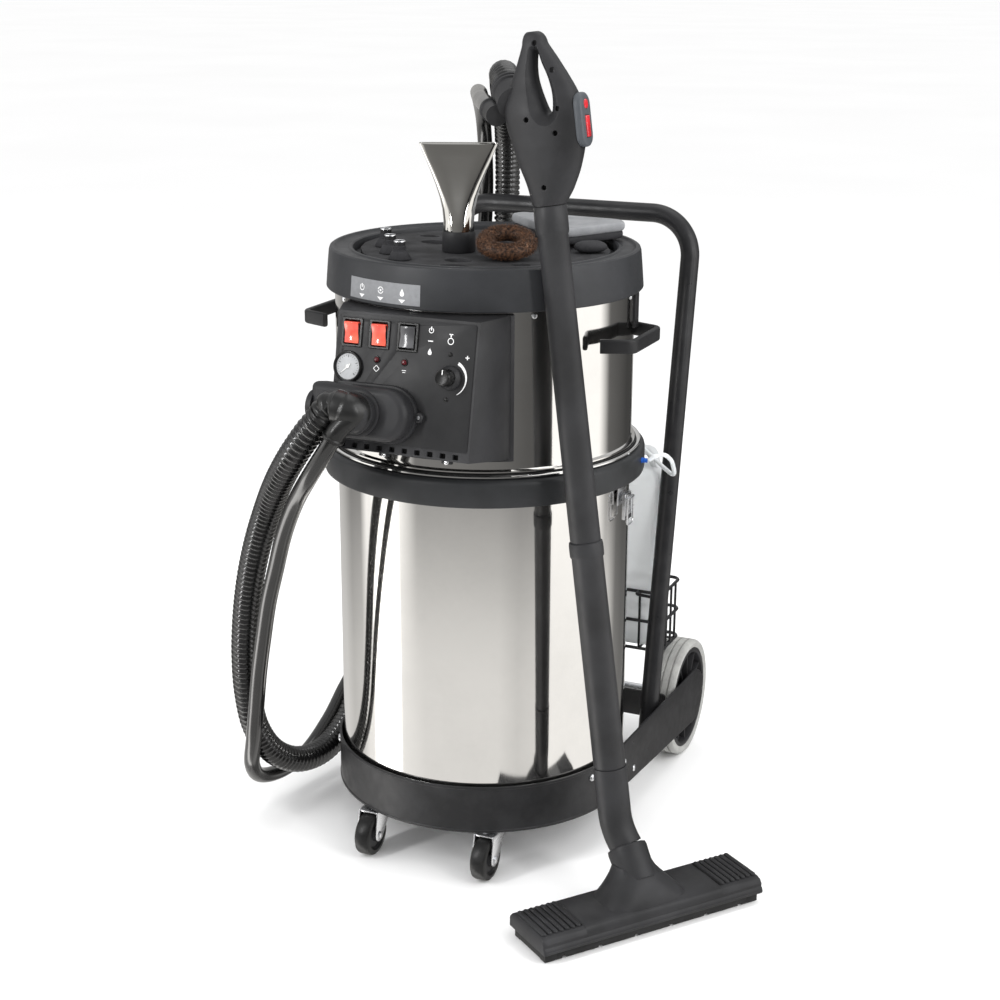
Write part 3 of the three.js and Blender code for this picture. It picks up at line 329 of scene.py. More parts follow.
def make(name, shape, material, body, bevel=0.0, segments=2, angle=32.0, cutters=(), smooth=0):
    """One shown piece on a body, with its edges rounded and its cutters taken out."""
    mesh = bpy.data.meshes.new(name)
    mesh.from_pydata([place(*p) for p in shape.points], [], shape.faces)
    mesh.validate()
    made = bmesh.new()
    made.from_mesh(mesh)
    bmesh.ops.remove_doubles(made, verts=made.verts, dist=1e-6)
    bmesh.ops.recalc_face_normals(made, faces=made.faces)
    made.to_mesh(mesh)
    made.free()
    piece = bpy.data.objects.new(name, mesh)
    scene.collection.objects.link(piece)
    helpers = []
    for index, cutter in enumerate(cutters):
        helper = make_cutter(f"{name}_cut{index}", cutter)
        helpers.append(helper)
        step = piece.modifiers.new("cut", "BOOLEAN")
        step.operation = "DIFFERENCE"
        step.solver = "EXACT"
        step.object = helper
    if bevel:
        step = piece.modifiers.new("edges", "BEVEL")
        step.width = bevel / 1000
        step.segments = segments
        step.limit_method = "ANGLE"
        step.angle_limit = math.radians(38)
        step.harden_normals = False
    if smooth:
        step = piece.modifiers.new("smooth", "SUBSURF")
        step.levels = smooth
        step.render_levels = smooth
    if piece.modifiers:
        bpy.context.view_layer.update()
        shown = piece.evaluated_get(bpy.context.evaluated_depsgraph_get())
        result = bpy.data.meshes.new_from_object(shown)
        piece.modifiers.clear()
        piece.data = result
        bpy.data.meshes.remove(mesh)
        result.name = name
    for helper in helpers:
        bpy.data.objects.remove(helper)
    piece.data.materials.clear()
    piece.data.materials.append(material)
    piece.data.shade_smooth()
    piece.data.set_sharp_from_angle(angle=math.radians(angle))
    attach(piece, body)
    return piece


def make_cutter(name, shape):
    mesh = bpy.data.meshes.new(name)
    mesh.from_pydata([place(*p) for p in shape.points], [], shape.faces)
    made = bmesh.new()
    made.from_mesh(mesh)
    bmesh.ops.recalc_face_normals(made, faces=made.faces)
    made.to_mesh(mesh)
    made.free()
    helper = bpy.data.objects.new(name, mesh)
    scene.collection.objects.link(helper)
    return helper


def lathe(profile, sides=128, start=0.0, sweep=360.0):
    """A profile of (radius, height) pairs turned about Z."""
    closed = sweep >= 360
    steps = sides if closed else sides + 1
    points, rows = [], []
    for radius, height in profile:
        if radius < 1e-6:
            rows.append([len(points)] * steps)
            points.append((0, 0, height))
            continue
        row = []
        for i in range(steps):
            a = math.radians(start + sweep * i / sides)
            row.append(len(points))
            points.append((radius * math.cos(a), radius * math.sin(a), height))
        rows.append(row)
    faces = []
    for low, high in zip(rows, rows[1:]):
        for i in range(sides):
            j = (i + 1) % steps if closed else i + 1
            quad = [low[i], low[j], high[j], high[i]]
            face = list(dict.fromkeys(quad))
            if len(face) > 2:
                faces.append(face)
    return Shape(points, faces)


def rod(radius, length, sides=40, top=None):
    top = radius if top is None else top
    return lathe([(0, 0), (radius, 0), (top, length), (0, length)], sides)


def quarter_turn(axis):
    return Matrix.Rotation(math.radians(90), 4, axis)


def standing(shape):
    """Stands a flat plate up, facing along X."""
    return shape.moved(quarter_turn("X")).moved(quarter_turn("Z"))


def along(shape, start, end):
    """Lays a shape built up +Z from start towards end."""
    start, end = Vector(start), Vector(end)
    quaternion = Vector((0, 0, 1)).rotation_difference((end - start).normalized())
    return shape.moved(Matrix.Translation(start) @ quaternion.to_matrix().to_4x4())


def rod_between(start, end, radius, sides=32):
    length = (Vector(end) - Vector(start)).length
    return along(rod(radius, length, sides), start, end)


def block(w, d, h, x=0.0, y=0.0, z=0.0):
    corners = [(i * w / 2, j * d / 2, k * h / 2) for k in (-1, 1) for j in (-1, 1) for i in (-1, 1)]
    faces = [(0, 2, 3, 1), (4, 5, 7, 6), (0, 1, 5, 4), (2, 6, 7, 3), (0, 4, 6, 2), (1, 3, 7, 5)]
    return Shape(corners, faces).at(x, y, z)


def rounded_rectangle(w, h, r, steps=6):
    centres = [(w / 2 - r, h / 2 - r), (r - w / 2, h / 2 - r)]
    centres += [(r - w / 2, r - h / 2), (w / 2 - r, r - h / 2)]
    outline = []
    for quarter, (cx, cy) in enumerate(centres):
        for i in range(steps + 1):
            a = math.pi / 2 * (quarter + i / steps)
            outline.append((cx + r * math.cos(a), cy + r * math.sin(a)))
    return outline


def prism(outline, depth, base=0.0):
    n = len(outline)
    points = [(x, y, base) for x, y in outline] + [(x, y, base + depth) for x, y in outline]
    faces = [tuple(reversed(range(n))), tuple(range(n, 2 * n))]
    faces += [(i, (i + 1) % n, (i + 1) % n + n, i + n) for i in range(n)]
    return Shape(points, faces)


def loft(rows, caps=True):
    n = len(rows[0])
    points = [p for row in rows for p in row]
    faces = []
    for r in range(len(rows) - 1):
        for i in range(n):
            a, b = r * n + i, r * n + (i + 1) % n
            faces.append((a, b, b + n, a + n))
    if caps:
        faces.append(tuple(reversed(range(n))))
        faces.append(tuple(range((len(rows) - 1) * n, len(rows) * n)))
    return Shape(points, faces)


def oval(a, b, z, x=0.0, y=0.0, power=2.0, count=48):
    row = []
    for i in range(count):
        t = 2 * math.pi * i / count
        c, s = math.cos(t), math.sin(t)
        px = math.copysign(abs(c) ** (2 / power), c) * a
        py = math.copysign(abs(s) ** (2 / power), s) * b
        row.append((x + px, y + py, z))
    return row


def tube(points, radius, sides=24, section=None):
    """A section swept along points, with a frame that doesn't twist. radius may be a function."""
    path = [Vector(p) for p in points]
    count = len(path)
    tangents = []
    for i in range(count):
        tangents.append((path[min(i + 1, count - 1)] - path[max(i - 1, 0)]).normalized())
    side = tangents[0].orthogonal().normalized()
    if section:
        side = Vector((0, 0, 1))
    rows = []
    for i in range(count):
        if i:
            side = tangents[i - 1].rotation_difference(tangents[i]) @ side
        side = (side - tangents[i] * side.dot(tangents[i])).normalized()
        up = tangents[i].cross(side)
        size = radius(i) if callable(radius) else radius
        row = []
        outline = section or [
            (math.cos(2 * math.pi * k / sides), math.sin(2 * math.pi * k / sides))
            for k in range(sides)
        ]
        for u, v in outline:
            row.append(path[i] + side * (u * size) + up * (v * size))
        rows.append(row)
    return loft(rows)


def rounded_path(corners, radius, per_corner=10):
    """A polyline with its inner corners rounded."""
    corners = [Vector(c) for c in corners]
    path = [corners[0]]
    for i in range(1, len(corners) - 1):
        back = (corners[i - 1] - corners[i]).normalized()
        ahead = (corners[i + 1] - corners[i]).normalized()
        half = back.angle(ahead) / 2
        reach = radius / math.tan(half)
        centre = corners[i] + (back + ahead).normalized() * (radius / math.sin(half))
        first = corners[i] + back * reach - centre
        last = corners[i] + ahead * reach - centre
        sweep = first.angle(last)
        for k in range(per_corner + 1):
            a = sweep * k / per_corner
            p = first * (math.sin(sweep - a) / math.sin(sweep))
            path.append(centre + p + last * (math.sin(a) / math.sin(sweep)))
    path.append(corners[-1])
    return path


def spline(route, per_span=24):
    """The smooth centripetal curve through the route's points."""
    points = [Vector(p) for p in route]
    points = [2 * points[0] - points[1]] + points + [2 * points[-1] - points[-2]]
    curve = []
    for i in range(1, len(points) - 2):
        p0, p1, p2, p3 = points[i - 1 : i + 3]
        d0, d1, d2 = (max((b - a).length, 1e-6) ** 0.5 for a, b in ((p0, p1), (p1, p2), (p2, p3)))
        m1 = ((p1 - p0) / d0 - (p2 - p0) / (d0 + d1) + (p2 - p1) / d1) * d1
        m2 = ((p2 - p1) / d1 - (p3 - p1) / (d1 + d2) + (p3 - p2) / d2) * d1
        for k in range(per_span):
            t = k / per_span
            bend = p1 + m1 * t + (3 * (p2 - p1) - 2 * m1 - m2) * t * t
            curve.append(bend + (2 * (p1 - p2) + m1 + m2) * t**3)
    curve.append(points[-2])
    return curve


def evenly(curve, step):
    """Points along a curve at equal steps."""
    array = np.array([tuple(p) for p in curve])
    lengths = np.r_[0, np.cumsum(np.linalg.norm(np.diff(array, axis=0), axis=1))]
    count = max(2, int(round(lengths[-1] / step)))
    marks = np.linspace(0, lengths[-1], count + 1)
    spaced = [np.interp(marks, lengths, array[:, k]) for k in range(3)]
    return [Vector(p) for p in zip(*spaced)], float(lengths[-1])


# ---- Hoses ---------------------------------------------------------------------------------------
SUCTION_ROUTE = [
    (-84, -309, 646), (-95, -311, 633), (-119, -308, 602), (-157, -284, 555), (-191, -258, 505),
    (-218, -242, 451), (-239, -230, 394), (-255, -219, 334), (-265, -210, 273), (-270, -199, 212),
    (-269, -182, 152), (-262, -149, 103), (-251, -98, 71), (-241, -40, 65), (-236, 17, 86),
    (-233, 66, 126), (-219, 111, 169), (-190, 148, 207), (-161, 176, 254), (-144, 197, 310),
    (-136, 206, 371), (-133, 213, 433), (-131, 230, 493), (-131, 258, 548), (-131, 294, 600),
    (-131, 326, 653), (-130, 347, 712), (-127, 356, 773), (-124, 356, 836), (-118, 343, 896),
    (-107, 314, 950), (-91, 269, 990), (-70, 215, 1014), (-46, 160, 1027), (-21, 104, 1034),
    (5, 46, 1039), (30, -11, 1045), (54, -63, 1048), (66, -88, 1047), (76, -105, 1043),
    (85, -119, 1037),
]
STEAM_ROUTE = [
    (-60, -319, 627), (-67, -320, 615), (-93, -316, 578), (-126, -298, 534), (-154, -282, 483),
    (-176, -268, 429), (-196, -257, 375), (-213, -245, 319), (-228, -235, 262), (-240, -226, 206),
    (-253, -215, 151), (-271, -193, 101), (-285, -150, 62), (-284, -94, 45), (-275, -35, 52),
    (-267, 22, 84), (-265, 71, 118), (-256, 116, 157), (-234, 149, 199), (-205, 168, 246),
    (-182, 180, 298), (-169, 193, 355), (-165, 201, 413), (-164, 211, 472), (-163, 230, 528),
    (-163, 260, 579), (-163, 294, 628), (-163, 322, 680), (-160, 340, 736), (-158, 349, 795),
    (-155, 347, 854), (-149, 330, 911), (-138, 298, 958), (-122, 252, 988), (-101, 199, 1003),
    (-77, 146, 1010), (-51, 93, 1013), (-26, 40, 1014), (0, -14, 1014), (26, -61, 1014),
    (47, -97, 1013), (61, -119, 1011),
]
DOSING_ROUTE = [
    (226, 32.4, 545.3), (234, 36, 551), (242, 48, 551), (246, 66, 540), (243, 88, 524),
    (236, 114, 508), (224, 142, 497), (206, 170, 494), (182, 196, 498), (152, 220, 508),
    (118, 240, 517), (82, 258, 522), (46, 274, 520), (14, 288, 512), (-10, 296, 500),
    (-23, 299, 490),
]
SUCTION_R = 19
STEAM_R = 11
DOSING_R = 3
HOSE_STEP = 1.6
RIB_PITCH = 8.0
RIB_DEPTH = 3.0


def hose(name, route, radius, step, material, body, node, section_radius=None, trim=0.6):
    path, length = evenly(spline(route), step)
    first = (path[1] - path[0]).normalized()
    last = (path[-1] - path[-2]).normalized()
    path[0] = path[0] + first * trim
    path[-1] = path[-1] - last * trim
    length -= 2 * trim
    piece = make(name, tube(path, section_radius or radius, 20), material, body, angle=60)
    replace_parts(piece, node)
    return piece


def ribbed(i):
    """The corrugated hose's radius: rounded ribs, a few steps to each."""
    phase = (i * HOSE_STEP / RIB_PITCH) % 1.0
    return SUCTION_R - RIB_DEPTH * (0.5 - 0.5 * math.cos(2 * math.pi * phase)) ** 2


suction_hose = hose(
    "suction_hose_ribs", SUCTION_ROUTE, SUCTION_R, HOSE_STEP, HOSE_BLACK, "head", "suction_hose",
    ribbed
)
steam_hose = hose("steam_hose_smooth", STEAM_ROUTE, STEAM_R, 5, GLOSS_BLACK, "head", "steam_hose")
dosing_tube = hose(
    "dosing_tube_clear", DOSING_ROUTE, DOSING_R, 4, CLEAR, "canister", "dosing_tube"
)


# ---- Chassis and wheels --------------------------------------------------------------------------
STEEL_R = 199.9
BAND_R = 206.2
REAR_AXLE_Y = 313
REAR_AXLE_Z = 90
WHEEL_X = 187
ARM_X = 203.6
ARM_SPLAY = 0.0266
CASTER_X = 87
CASTER_STEM_Y = -168
CASTER_AXLE_Y = -188
CASTER_AXLE_Z = 30
SIDES = (("left", -1), ("right", 1))


def both(shape):
    return {"right": shape, "left": shape.mirrored()}


def arc_band(inner, outer, bottom, top, start, sweep, steps=96, lip=0.0):
    """An open band round the tank axis, with closed ends."""
    rows = []
    for i in range(steps + 1):
        a = math.radians(start + sweep * i / steps)
        c, s = math.cos(a), math.sin(a)
        section = [(inner, bottom), (outer + lip, bottom), (outer + lip, bottom + 3)]
        section += [(outer, bottom + 4), (outer, top - 4), (outer + lip, top - 3)]
        section += [(outer + lip, top), (inner, top)]
        rows.append([(r * c, r * s, z) for r, z in section])
    return loft(rows)


def screw(point, direction, radius, height=2.2):
    """A domed cross-head screw that stands on a surface."""
    head = lathe([(0, 0), (radius, 0), (radius, height * 0.35), (radius * 0.8, height * 0.8),
                  (radius * 0.45, height), (0, height)], 28)
    start = Vector(point)
    w, reach = radius * 0.11, radius * 0.55
    arms = [(-w, -reach), (w, -reach), (w, -w), (reach, -w), (reach, w), (w, w), (w, reach),
            (-w, reach), (-w, w), (-reach, w), (-reach, -w), (-w, -w)]
    cross = prism(arms, height, height * 0.55)
    end = start + Vector(direction)
    return along(head, start, end), along(cross, start, end)


def put_screw(name, point, direction, radius, material, body, height=2.2):
    head, cross = screw(point, direction, radius, height)
    return make(name, head, material, body, angle=40, cutters=[cross])


def polar(angle, radius, z):
    a = math.radians(angle)
    return Vector((radius * math.sin(a), -radius * math.cos(a), z))


band = arc_band(203.5, BAND_R, 66.6, 132.9, 180, 180, lip=0.7)
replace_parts(make("base_band", band, BAND_PAINT, "chassis", bevel=0.6), "base_hoop")
for angle in (-62, 70):
    put_screw(f"band_bolt_{angle + 90}", polar(angle, BAND_R, 118), polar(angle, 1, 0), 5.2, ZINC,
              "chassis", 3)

ARM_OUTLINE = [(0.5, 66.6), (REAR_AXLE_Y, 49.2)]
for i in range(1, 24):
    t = -math.pi / 2 + math.pi * i / 24
    ARM_OUTLINE.append((REAR_AXLE_Y + 42.8 * math.cos(t), 92 + 42.8 * math.sin(t)))
ARM_OUTLINE += [(REAR_AXLE_Y, 134.8), (0.5, 132.8)]


def arm_plate():
    n = len(ARM_OUTLINE)
    inside = [(ARM_X + ARM_SPLAY * y, y, z) for y, z in ARM_OUTLINE]
    outside = [(x + 3.6, y, z) for x, y, z in inside]
    faces = [tuple(range(n)), tuple(reversed(range(n, 2 * n)))]
    faces += [(i, i + n, (i + 1) % n + n, (i + 1) % n) for i in range(n)]
    return Shape(inside + outside, faces)


for side, shape in both(arm_plate()).items():
    sign = 1 if side == "right" else -1
    arm = make(f"side_arm_{side}", shape, FRAME_PAINT, "chassis", bevel=1.1, segments=3)
    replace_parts(arm, f"chassis_arm_{side}")
    for y, z in ((22, 104), (58, 80)):
        put_screw(f"arm_bolt_{side}_{y}", (sign * (ARM_X + 3.6 + ARM_SPLAY * y), y, z),
                  (sign, 0, 0), 5, ZINC, "chassis", 2.6)

TYRE_PROFILE = [(77.8, -19.5), (84, -21.6), (87.4, -20.6), (89.3, -18)]
for groove in (-11, 0, 11):
    TYRE_PROFILE += [(89.95, groove - 3.2), (89.95, groove - 1.6), (87.2, groove - 1.1),
                     (87.2, groove + 1.1), (89.95, groove + 1.6), (89.95, groove + 3.2)]
TYRE_PROFILE += [(89.3, 18), (87.4, 20.6), (84, 21.6), (77.8, 19.5), (77.8, -19.5)]
HUB_PROFILE = [
    (8.2, -21.5), (18, -21.5), (19.5, -20), (21, -9), (60, -6.5), (68, -8), (70.5, -19),
    (73, -20.3), (77.2, -19.4), (77.2, 19.4), (73, 20.3), (70.5, 19), (68, 8), (60, 6.5),
    (21, 9), (19.5, 20), (18, 21.5), (8.2, 21.5), (8.2, -21.5),
]
for side, sign in SIDES:
    body = f"rear_wheel_{side}"
    spin = Matrix.Translation((sign * WHEEL_X, REAR_AXLE_Y, REAR_AXLE_Z)) @ quarter_turn("Y")
    tyre = make(f"tyre_{side}", lathe(TYRE_PROFILE, 180).moved(spin), TYRE_GREY, body, angle=28)
    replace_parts(tyre, f"rear_tyre_{side}")
    ribs = total([block(51, 3.2, 33, 45, 0, 0).turned(i * 30, "Z") for i in range(12)])
    make(f"wheel_ribs_{side}", ribs.moved(spin), SHELL_BLACK, body, bevel=0.8)
    hub = make(f"wheel_hub_{side}", lathe(HUB_PROFILE, 120).moved(spin), SHELL_BLACK, body)
    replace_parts(hub, f"rear_hub_{side}")

CASTER_LEG = [(-25, 64.6), (17.5, 64.6), (15, 58), (-6, 30), (-10.5, 25), (-14, 22.6), (-20, 20.4),
              (-26, 22.6), (-30, 27), (-30.4, 33), (-29, 46), (-26, 58)]
for side, sign in SIDES:
    x = sign * CASTER_X
    axle_at = Vector((x, CASTER_AXLE_Y, CASTER_AXLE_Z))
    swivel = f"caster_swivel_{side}"
    legs = Shape()
    for offset in (-14.6, 12.6):
        legs = legs + standing(prism(CASTER_LEG, 2.0)).at(x + offset, CASTER_STEM_Y, 0)
    fork = make(f"caster_legs_{side}", legs, ZINC, swivel, bevel=0.5)
    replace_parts(fork, f"caster_fork_{side}")
    crown = prism(rounded_rectangle(29.2, 43, 6), 2.6).at(x, -172, 62.4)
    make(f"caster_crown_{side}", crown, ZINC, swivel, bevel=0.7)
    race = lathe([(0, 64.9), (13, 64.9), (13.4, 67), (12.2, 69.5), (13.2, 71), (12.6, 73.4),
                  (0, 73.4)], 48)
    make(f"caster_race_{side}", race.at(x, CASTER_STEM_Y, 0), ZINC, swivel)
    axle = rod_between(axle_at - Vector((15.6, 0, 0)), axle_at + Vector((15.6, 0, 0)), 2.9)
    make(f"caster_axle_{side}", axle, ZINC, swivel, bevel=0.5)
    for end in (-1, 1):
        nut = prism([(5.2 * math.cos(k * math.pi / 3), 5.2 * math.sin(k * math.pi / 3))
                     for k in range(6)], 2.6)
        start = axle_at + Vector((end * 14.6, 0, 0))
        nut = along(nut, start, start + Vector((end, 0, 0)))
        make(f"caster_nut_{side}_{end + 1}", nut, ZINC, swivel, bevel=0.4)
    spin = Matrix.Translation(axle_at) @ quarter_turn("Y")
    tread = lathe([(20, -9), (22, -11.2), (26, -11), (28.8, -9.2), (29.9, -6), (29.9, 6),
                   (28.8, 9.2), (26, 11), (22, 11.2), (20, 9), (20, -9)], 96)
    roller = make(f"caster_tread_{side}", tread.moved(spin), ROLLER_BLACK, f"caster_roller_{side}")
    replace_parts(roller, f"caster_wheel_{side}")
    core = lathe([(3.4, -11.6), (9.5, -11.6), (10.5, -8), (18, -7.4), (19.6, -9.4), (19.9, -9.4),
                  (19.9, 9.4), (19.6, 9.4), (18, 7.4), (10.5, 8), (9.5, 11.6), (3.4, 11.6),
                  (3.4, -11.6)], 64)
    make(f"caster_core_{side}", core.moved(spin), SHELL_BLACK, f"caster_roller_{side}")

# ---- Recovery tank, rim and latches --------------------------------------------------------------
tank_profile = [
    (0, 78.5), (192, 78.5), (196, 79.4), (199, 82), (199.8, 86), (STEEL_R, 90), (STEEL_R, 522),
    (STEEL_R, 556), (199, 557), (198, 556), (198, 88), (195, 82.6), (190, 80.8), (0, 80.8),
]
tank = make("tank_shell", lathe(tank_profile, 256), STEEL, "chassis", angle=40)
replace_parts(tank, "recovery_tank")
rim_profile = [
    (200.5, 524.2), (215, 524), (218, 525.2), (218.8, 528), (218.8, 554), (217.8, 557.6),
    (214.5, 560), (208, 560.9), (192.4, 560.9), (192.2, 558.8), (200.4, 558.6), (200.5, 524.2),
]
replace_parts(make("rim_ring", lathe(rim_profile, 220), RING_GREY, "chassis", angle=40), "tank_rim")

latch_parts = {
    "latch_plate": (block(2.4, 30, 32, 202.4, -5, 509), ZINC, "chassis", 0.8),
    "latch_lip": (block(6, 26, 5, 204, -5, 521), ZINC, "chassis", 0.8),
    "latch_hook": (block(4, 20, 5, 214.8, -5, 527), ZINC, "chassis", 1.2),
    "latch_lever_body": (
        block(4.6, 23, 36, 209.5, -5, 491) + block(3.0, 17, 34, 212.2, -5, 491),
        ZINC, "latch", 1.2),
    "latch_lever_tip": (block(6, 17, 7, 211.4, -5, 476.2), SHELL_BLACK, "latch", 1.6),
}
for name, (shape, material, body, edge) in latch_parts.items():
    for side, mirrored in both(shape).items():
        group = body if body == "chassis" else f"latch_{side}"
        piece = make(f"{name}_{side}", mirrored, material, group, bevel=edge)
        if name == "latch_lever_body":
            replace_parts(piece, f"latch_lever_{side}")
bail_path = rounded_path(
    [(215, -16, 502), (215, -16, 466.4), (215, 6, 466.4), (215, 6, 502)], 6, 8
)
for side, shape in both(tube(bail_path, 1.45, 14)).items():
    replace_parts(make(f"bail_wire_{side}", shape, ZINC, f"bail_{side}"), f"latch_bail_{side}")
for side, shape in both(rod_between((214.6, -17.5, 502), (214.6, 7.5, 502), 2.0, 20)).items():
    make(f"bail_pin_{side}", shape, ZINC, f"latch_{side}", bevel=0.4)

nipple = lathe([(0, 0), (4.8, 0), (4.8, 4), (3.4, 5), (3.9, 8), (3.1, 8.4), (3.7, 11.6), (2.9, 12),
                (3.2, 14.6), (2.2, 15), (0, 15)], 32)
make("dosing_barb", along(nipple, (210, 29.6, 545), (226, 32.2, 545.2)), BLUE, "chassis")

# ---- Push handle, basket and canister ------------------------------------------------------------
LEAN = 0.182


def leg_y(z):
    return 166 + (z - 72) * LEAN


bar = rounded_path(
    [(-190, leg_y(72), 72), (-190, leg_y(836), 836), (190, leg_y(836), 836), (190, leg_y(72), 72)],
    62, 20,
)
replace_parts(make("push_bar", tube(bar, 13.4, 40), FRAME_PAINT, "chassis", angle=50), "push_handle")
for side, sign in SIDES:
    foot = block(6, 44, 22, sign * 199.5, leg_y(96), 92)
    make(f"handle_foot_{side}", foot, FRAME_PAINT, "chassis", bevel=1.5)
    put_screw(f"handle_bolt_{side}", (sign * 202.5, leg_y(96), 92), (sign, 0, 0), 5, ZINC,
              "chassis")

BASKET = {"x": 187.4, "y0": 228.6, "y1": 310.4, "z0": 192.6, "z1": 283.4, "wire": 2.5}


def basket_ring(z, wire):
    corners = rounded_rectangle(2 * BASKET["x"], BASKET["y1"] - BASKET["y0"], 12, 5)
    middle = (BASKET["y0"] + BASKET["y1"]) / 2
    points = [(x, y + middle, z) for x, y in corners]
    rows = []
    n = len(points)
    for i in range(n):
        p = Vector(points[i])
        tangent = (Vector(points[(i + 1) % n]) - Vector(points[i - 1])).normalized()
        side = tangent.cross(Vector((0, 0, 1)))
        rows.append([p + side * (wire * math.cos(a)) + Vector((0, 0, wire * math.sin(a)))
                     for a in (2 * math.pi * k / 12 for k in range(12))])
    rows.append(rows[0])
    return loft(rows, caps=False)


wires = Shape()
for z in (BASKET["z0"], 237, BASKET["z1"]):
    wires = wires + basket_ring(z, BASKET["wire"])
THIN_WIRE_R = 1.9
for k in (-0.8, -0.6, -0.4, -0.2, 0, 0.2, 0.4, 0.6, 0.8):
    x = k * 190
    u = [(x, BASKET["y0"], 281), (x, BASKET["y0"], BASKET["z0"]), (x, BASKET["y1"], BASKET["z0"]),
         (x, BASKET["y1"], 281)]
    wires = wires + tube(rounded_path(u, 5, 4), THIN_WIRE_R, 10)
for y in (250, 270, 290):
    u = [(-BASKET["x"], y, 281), (-BASKET["x"], y, BASKET["z0"]), (BASKET["x"], y, BASKET["z0"]),
         (BASKET["x"], y, 281)]
    wires = wires + tube(rounded_path(u, 5, 4), THIN_WIRE_R, 10)
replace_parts(make("basket_wires", wires, WIRE_PAINT, "chassis", angle=60), "wire_basket")
for sign in (-1, 1):
    hook = tube(rounded_path([(sign * 150, 229, 283), (sign * 150, 216, 283),
                              (sign * 178, 212, 283)], 6, 5), 2.4, 12)
    make(f"basket_hook_{sign + 1}", hook, WIRE_PAINT, "chassis")

CAN = {"x": 79.5, "y": 269.5, "half_x": 95.4, "half_y": 37.8, "neck_x": 26}


def can_row(inset, z, power=9):
    return oval(CAN["half_x"] - inset, CAN["half_y"] - inset, z, CAN["x"], CAN["y"], power, 96)


canister_rows = [can_row(12, 195.4), can_row(3, 196.6), can_row(0.6, 200), can_row(0, 206)]
for z in range(230, 430, 25):
    canister_rows.append(can_row(0, z))
    canister_rows.append(can_row(1.4, z + 6))
canister_rows += [can_row(0, 446), can_row(1, 452), can_row(4, 460), can_row(9, 466),
                  can_row(16, 469.4), can_row(26, 470)]
canister = make("canister_body", loft(canister_rows), MILKY, "canister", angle=60)
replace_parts(canister, "detergent_canister")
grip_corners = ((72, 462), (84, 491), (150, 491), (160, 458))
grip_path = rounded_path([(x, CAN["y"], z) for x, z in grip_corners], 10, 8)
grip = tube(grip_path, 1.0, section=[(y * 0.98, x) for x, y in rounded_rectangle(23, 12, 5, 4)])
make("canister_grip", grip, MILKY, "canister", angle=50)
neck = lathe([(0, 465), (18, 465), (18, 473), (20.5, 474), (20.5, 476.5), (17, 477.6), (0, 477.6)],
             64).at(CAN["neck_x"], CAN["y"], 0)
make("canister_neck", neck, MILKY, "canister")
cap_rows = []
for z, r in ((478.4, 21.6), (480, 21.9), (495, 21.2), (497.6, 20), (498.2, 18)):
    row = []
    for i in range(120):
        a = 2 * math.pi * i / 120
        flute = 0.5 * (1 + math.cos(30 * a)) * 0.45
        reach = r - flute
        row.append((CAN["neck_x"] + reach * math.cos(a), CAN["y"] + reach * math.sin(a), z))
    cap_rows.append(row)
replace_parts(make("cap_fluted", loft(cap_rows), SHELL_BLACK, "cap", angle=40), "canister_cap")
make("tube_fitting", along(lathe([(0, 0), (4.6, 0), (4.6, 5), (3.8, 6), (3.8, 10), (0, 10)], 28),
     (-16, 297, 494), (-24, 299, 489)), BLUE, "canister")
label = standing(prism(rounded_rectangle(54, 92, 4), 0.5))
make("canister_label", label.at(CAN["x"] + 95.5, CAN["y"], 372), PAPER, "canister", bevel=0.15)
stripe = standing(prism(rounded_rectangle(50, 14, 2), 0.4))
make("label_stripe", stripe.at(CAN["x"] + 96, CAN["y"], 404), ORANGE_PRINT, "canister")

# ---- Head: flange, drum and lid ------------------------------------------------------------------
flange_profile = [
    (32.2, 561.5), (208, 561.5), (211.6, 561.6), (212.8, 562.8), (212.6, 564.4), (211, 565.4),
    (208.5, 565.2), (206.8, 564), (200, 564.2), (192, 565), (32.2, 565), (32.2, 561.5),
]
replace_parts(make("flange_lip", lathe(flange_profile, 220), BRIGHT, "head", angle=50), "head_flange")
seal = lathe([(201, 564.4), (206.4, 564.4), (206.4, 566), (201, 566), (201, 564.4)], 180)
make("flange_seal", seal, RUBBER_BLACK, "head", bevel=0.3)
drum_profile = [
    (198, 567.4), (199, 566.4), (203.6, 566.4), (204.8, 567.4), (204.6, 569), (202.6, 569.8),
    (200.4, 571), (STEEL_R, 574), (STEEL_R, 799.6), (198, 799.6), (198, 567.4),
]
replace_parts(make("drum_shell", lathe(drum_profile, 256), STEEL, "head", angle=50), "head_drum")
DRUM_SCREW_Z = 766
for angle in (42, 96, -42, -96, 152, -152):
    put_screw(f"drum_screw_{angle + 180}", polar(angle, STEEL_R, DRUM_SCREW_Z),
              polar(angle, 1, 0), 3.6, ZINC, "head", 1.8)

lid_profile = [
    (0, 808.2), (196, 808.2), (201, 800), (206.6, 773.4), (210.2, 773.1), (211, 774.2),
    (208.9, 800), (206.9, 820.5), (205.6, 824.4), (203.2, 825.9), (199.6, 825.7), (197.4, 823.6),
    (195, 822.6), (181.5, 822.6), (179.6, 824.3), (177.4, 824.6), (175.4, 823.4), (174.2, 820),
    (173.8, 812.4), (0, 812.2),
]
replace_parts(make("lid_shell", lathe(lid_profile, 240), LID_GREY, "head", angle=28), "lid")


def lid_radius(z):
    return 208.9 + (800 - z) * (2.1 / 26) if z < 800 else 208.9 - (z - 800) * (2.0 / 20.5)


label_rows = []
for i in range(41):
    angle = -119.6 + (119.6 - 88.1) * i / 40
    a = math.radians(angle)
    row = []
    for z, out in ((778, 0.05), (778, 0.5), (804, 0.5), (804, 0.05)):
        r = lid_radius(z) + out
        row.append((r * math.cos(a), r * math.sin(a), z))
    label_rows.append(row)
make("lid_label", loft(label_rows), SILVER_LABEL, "head", angle=30)


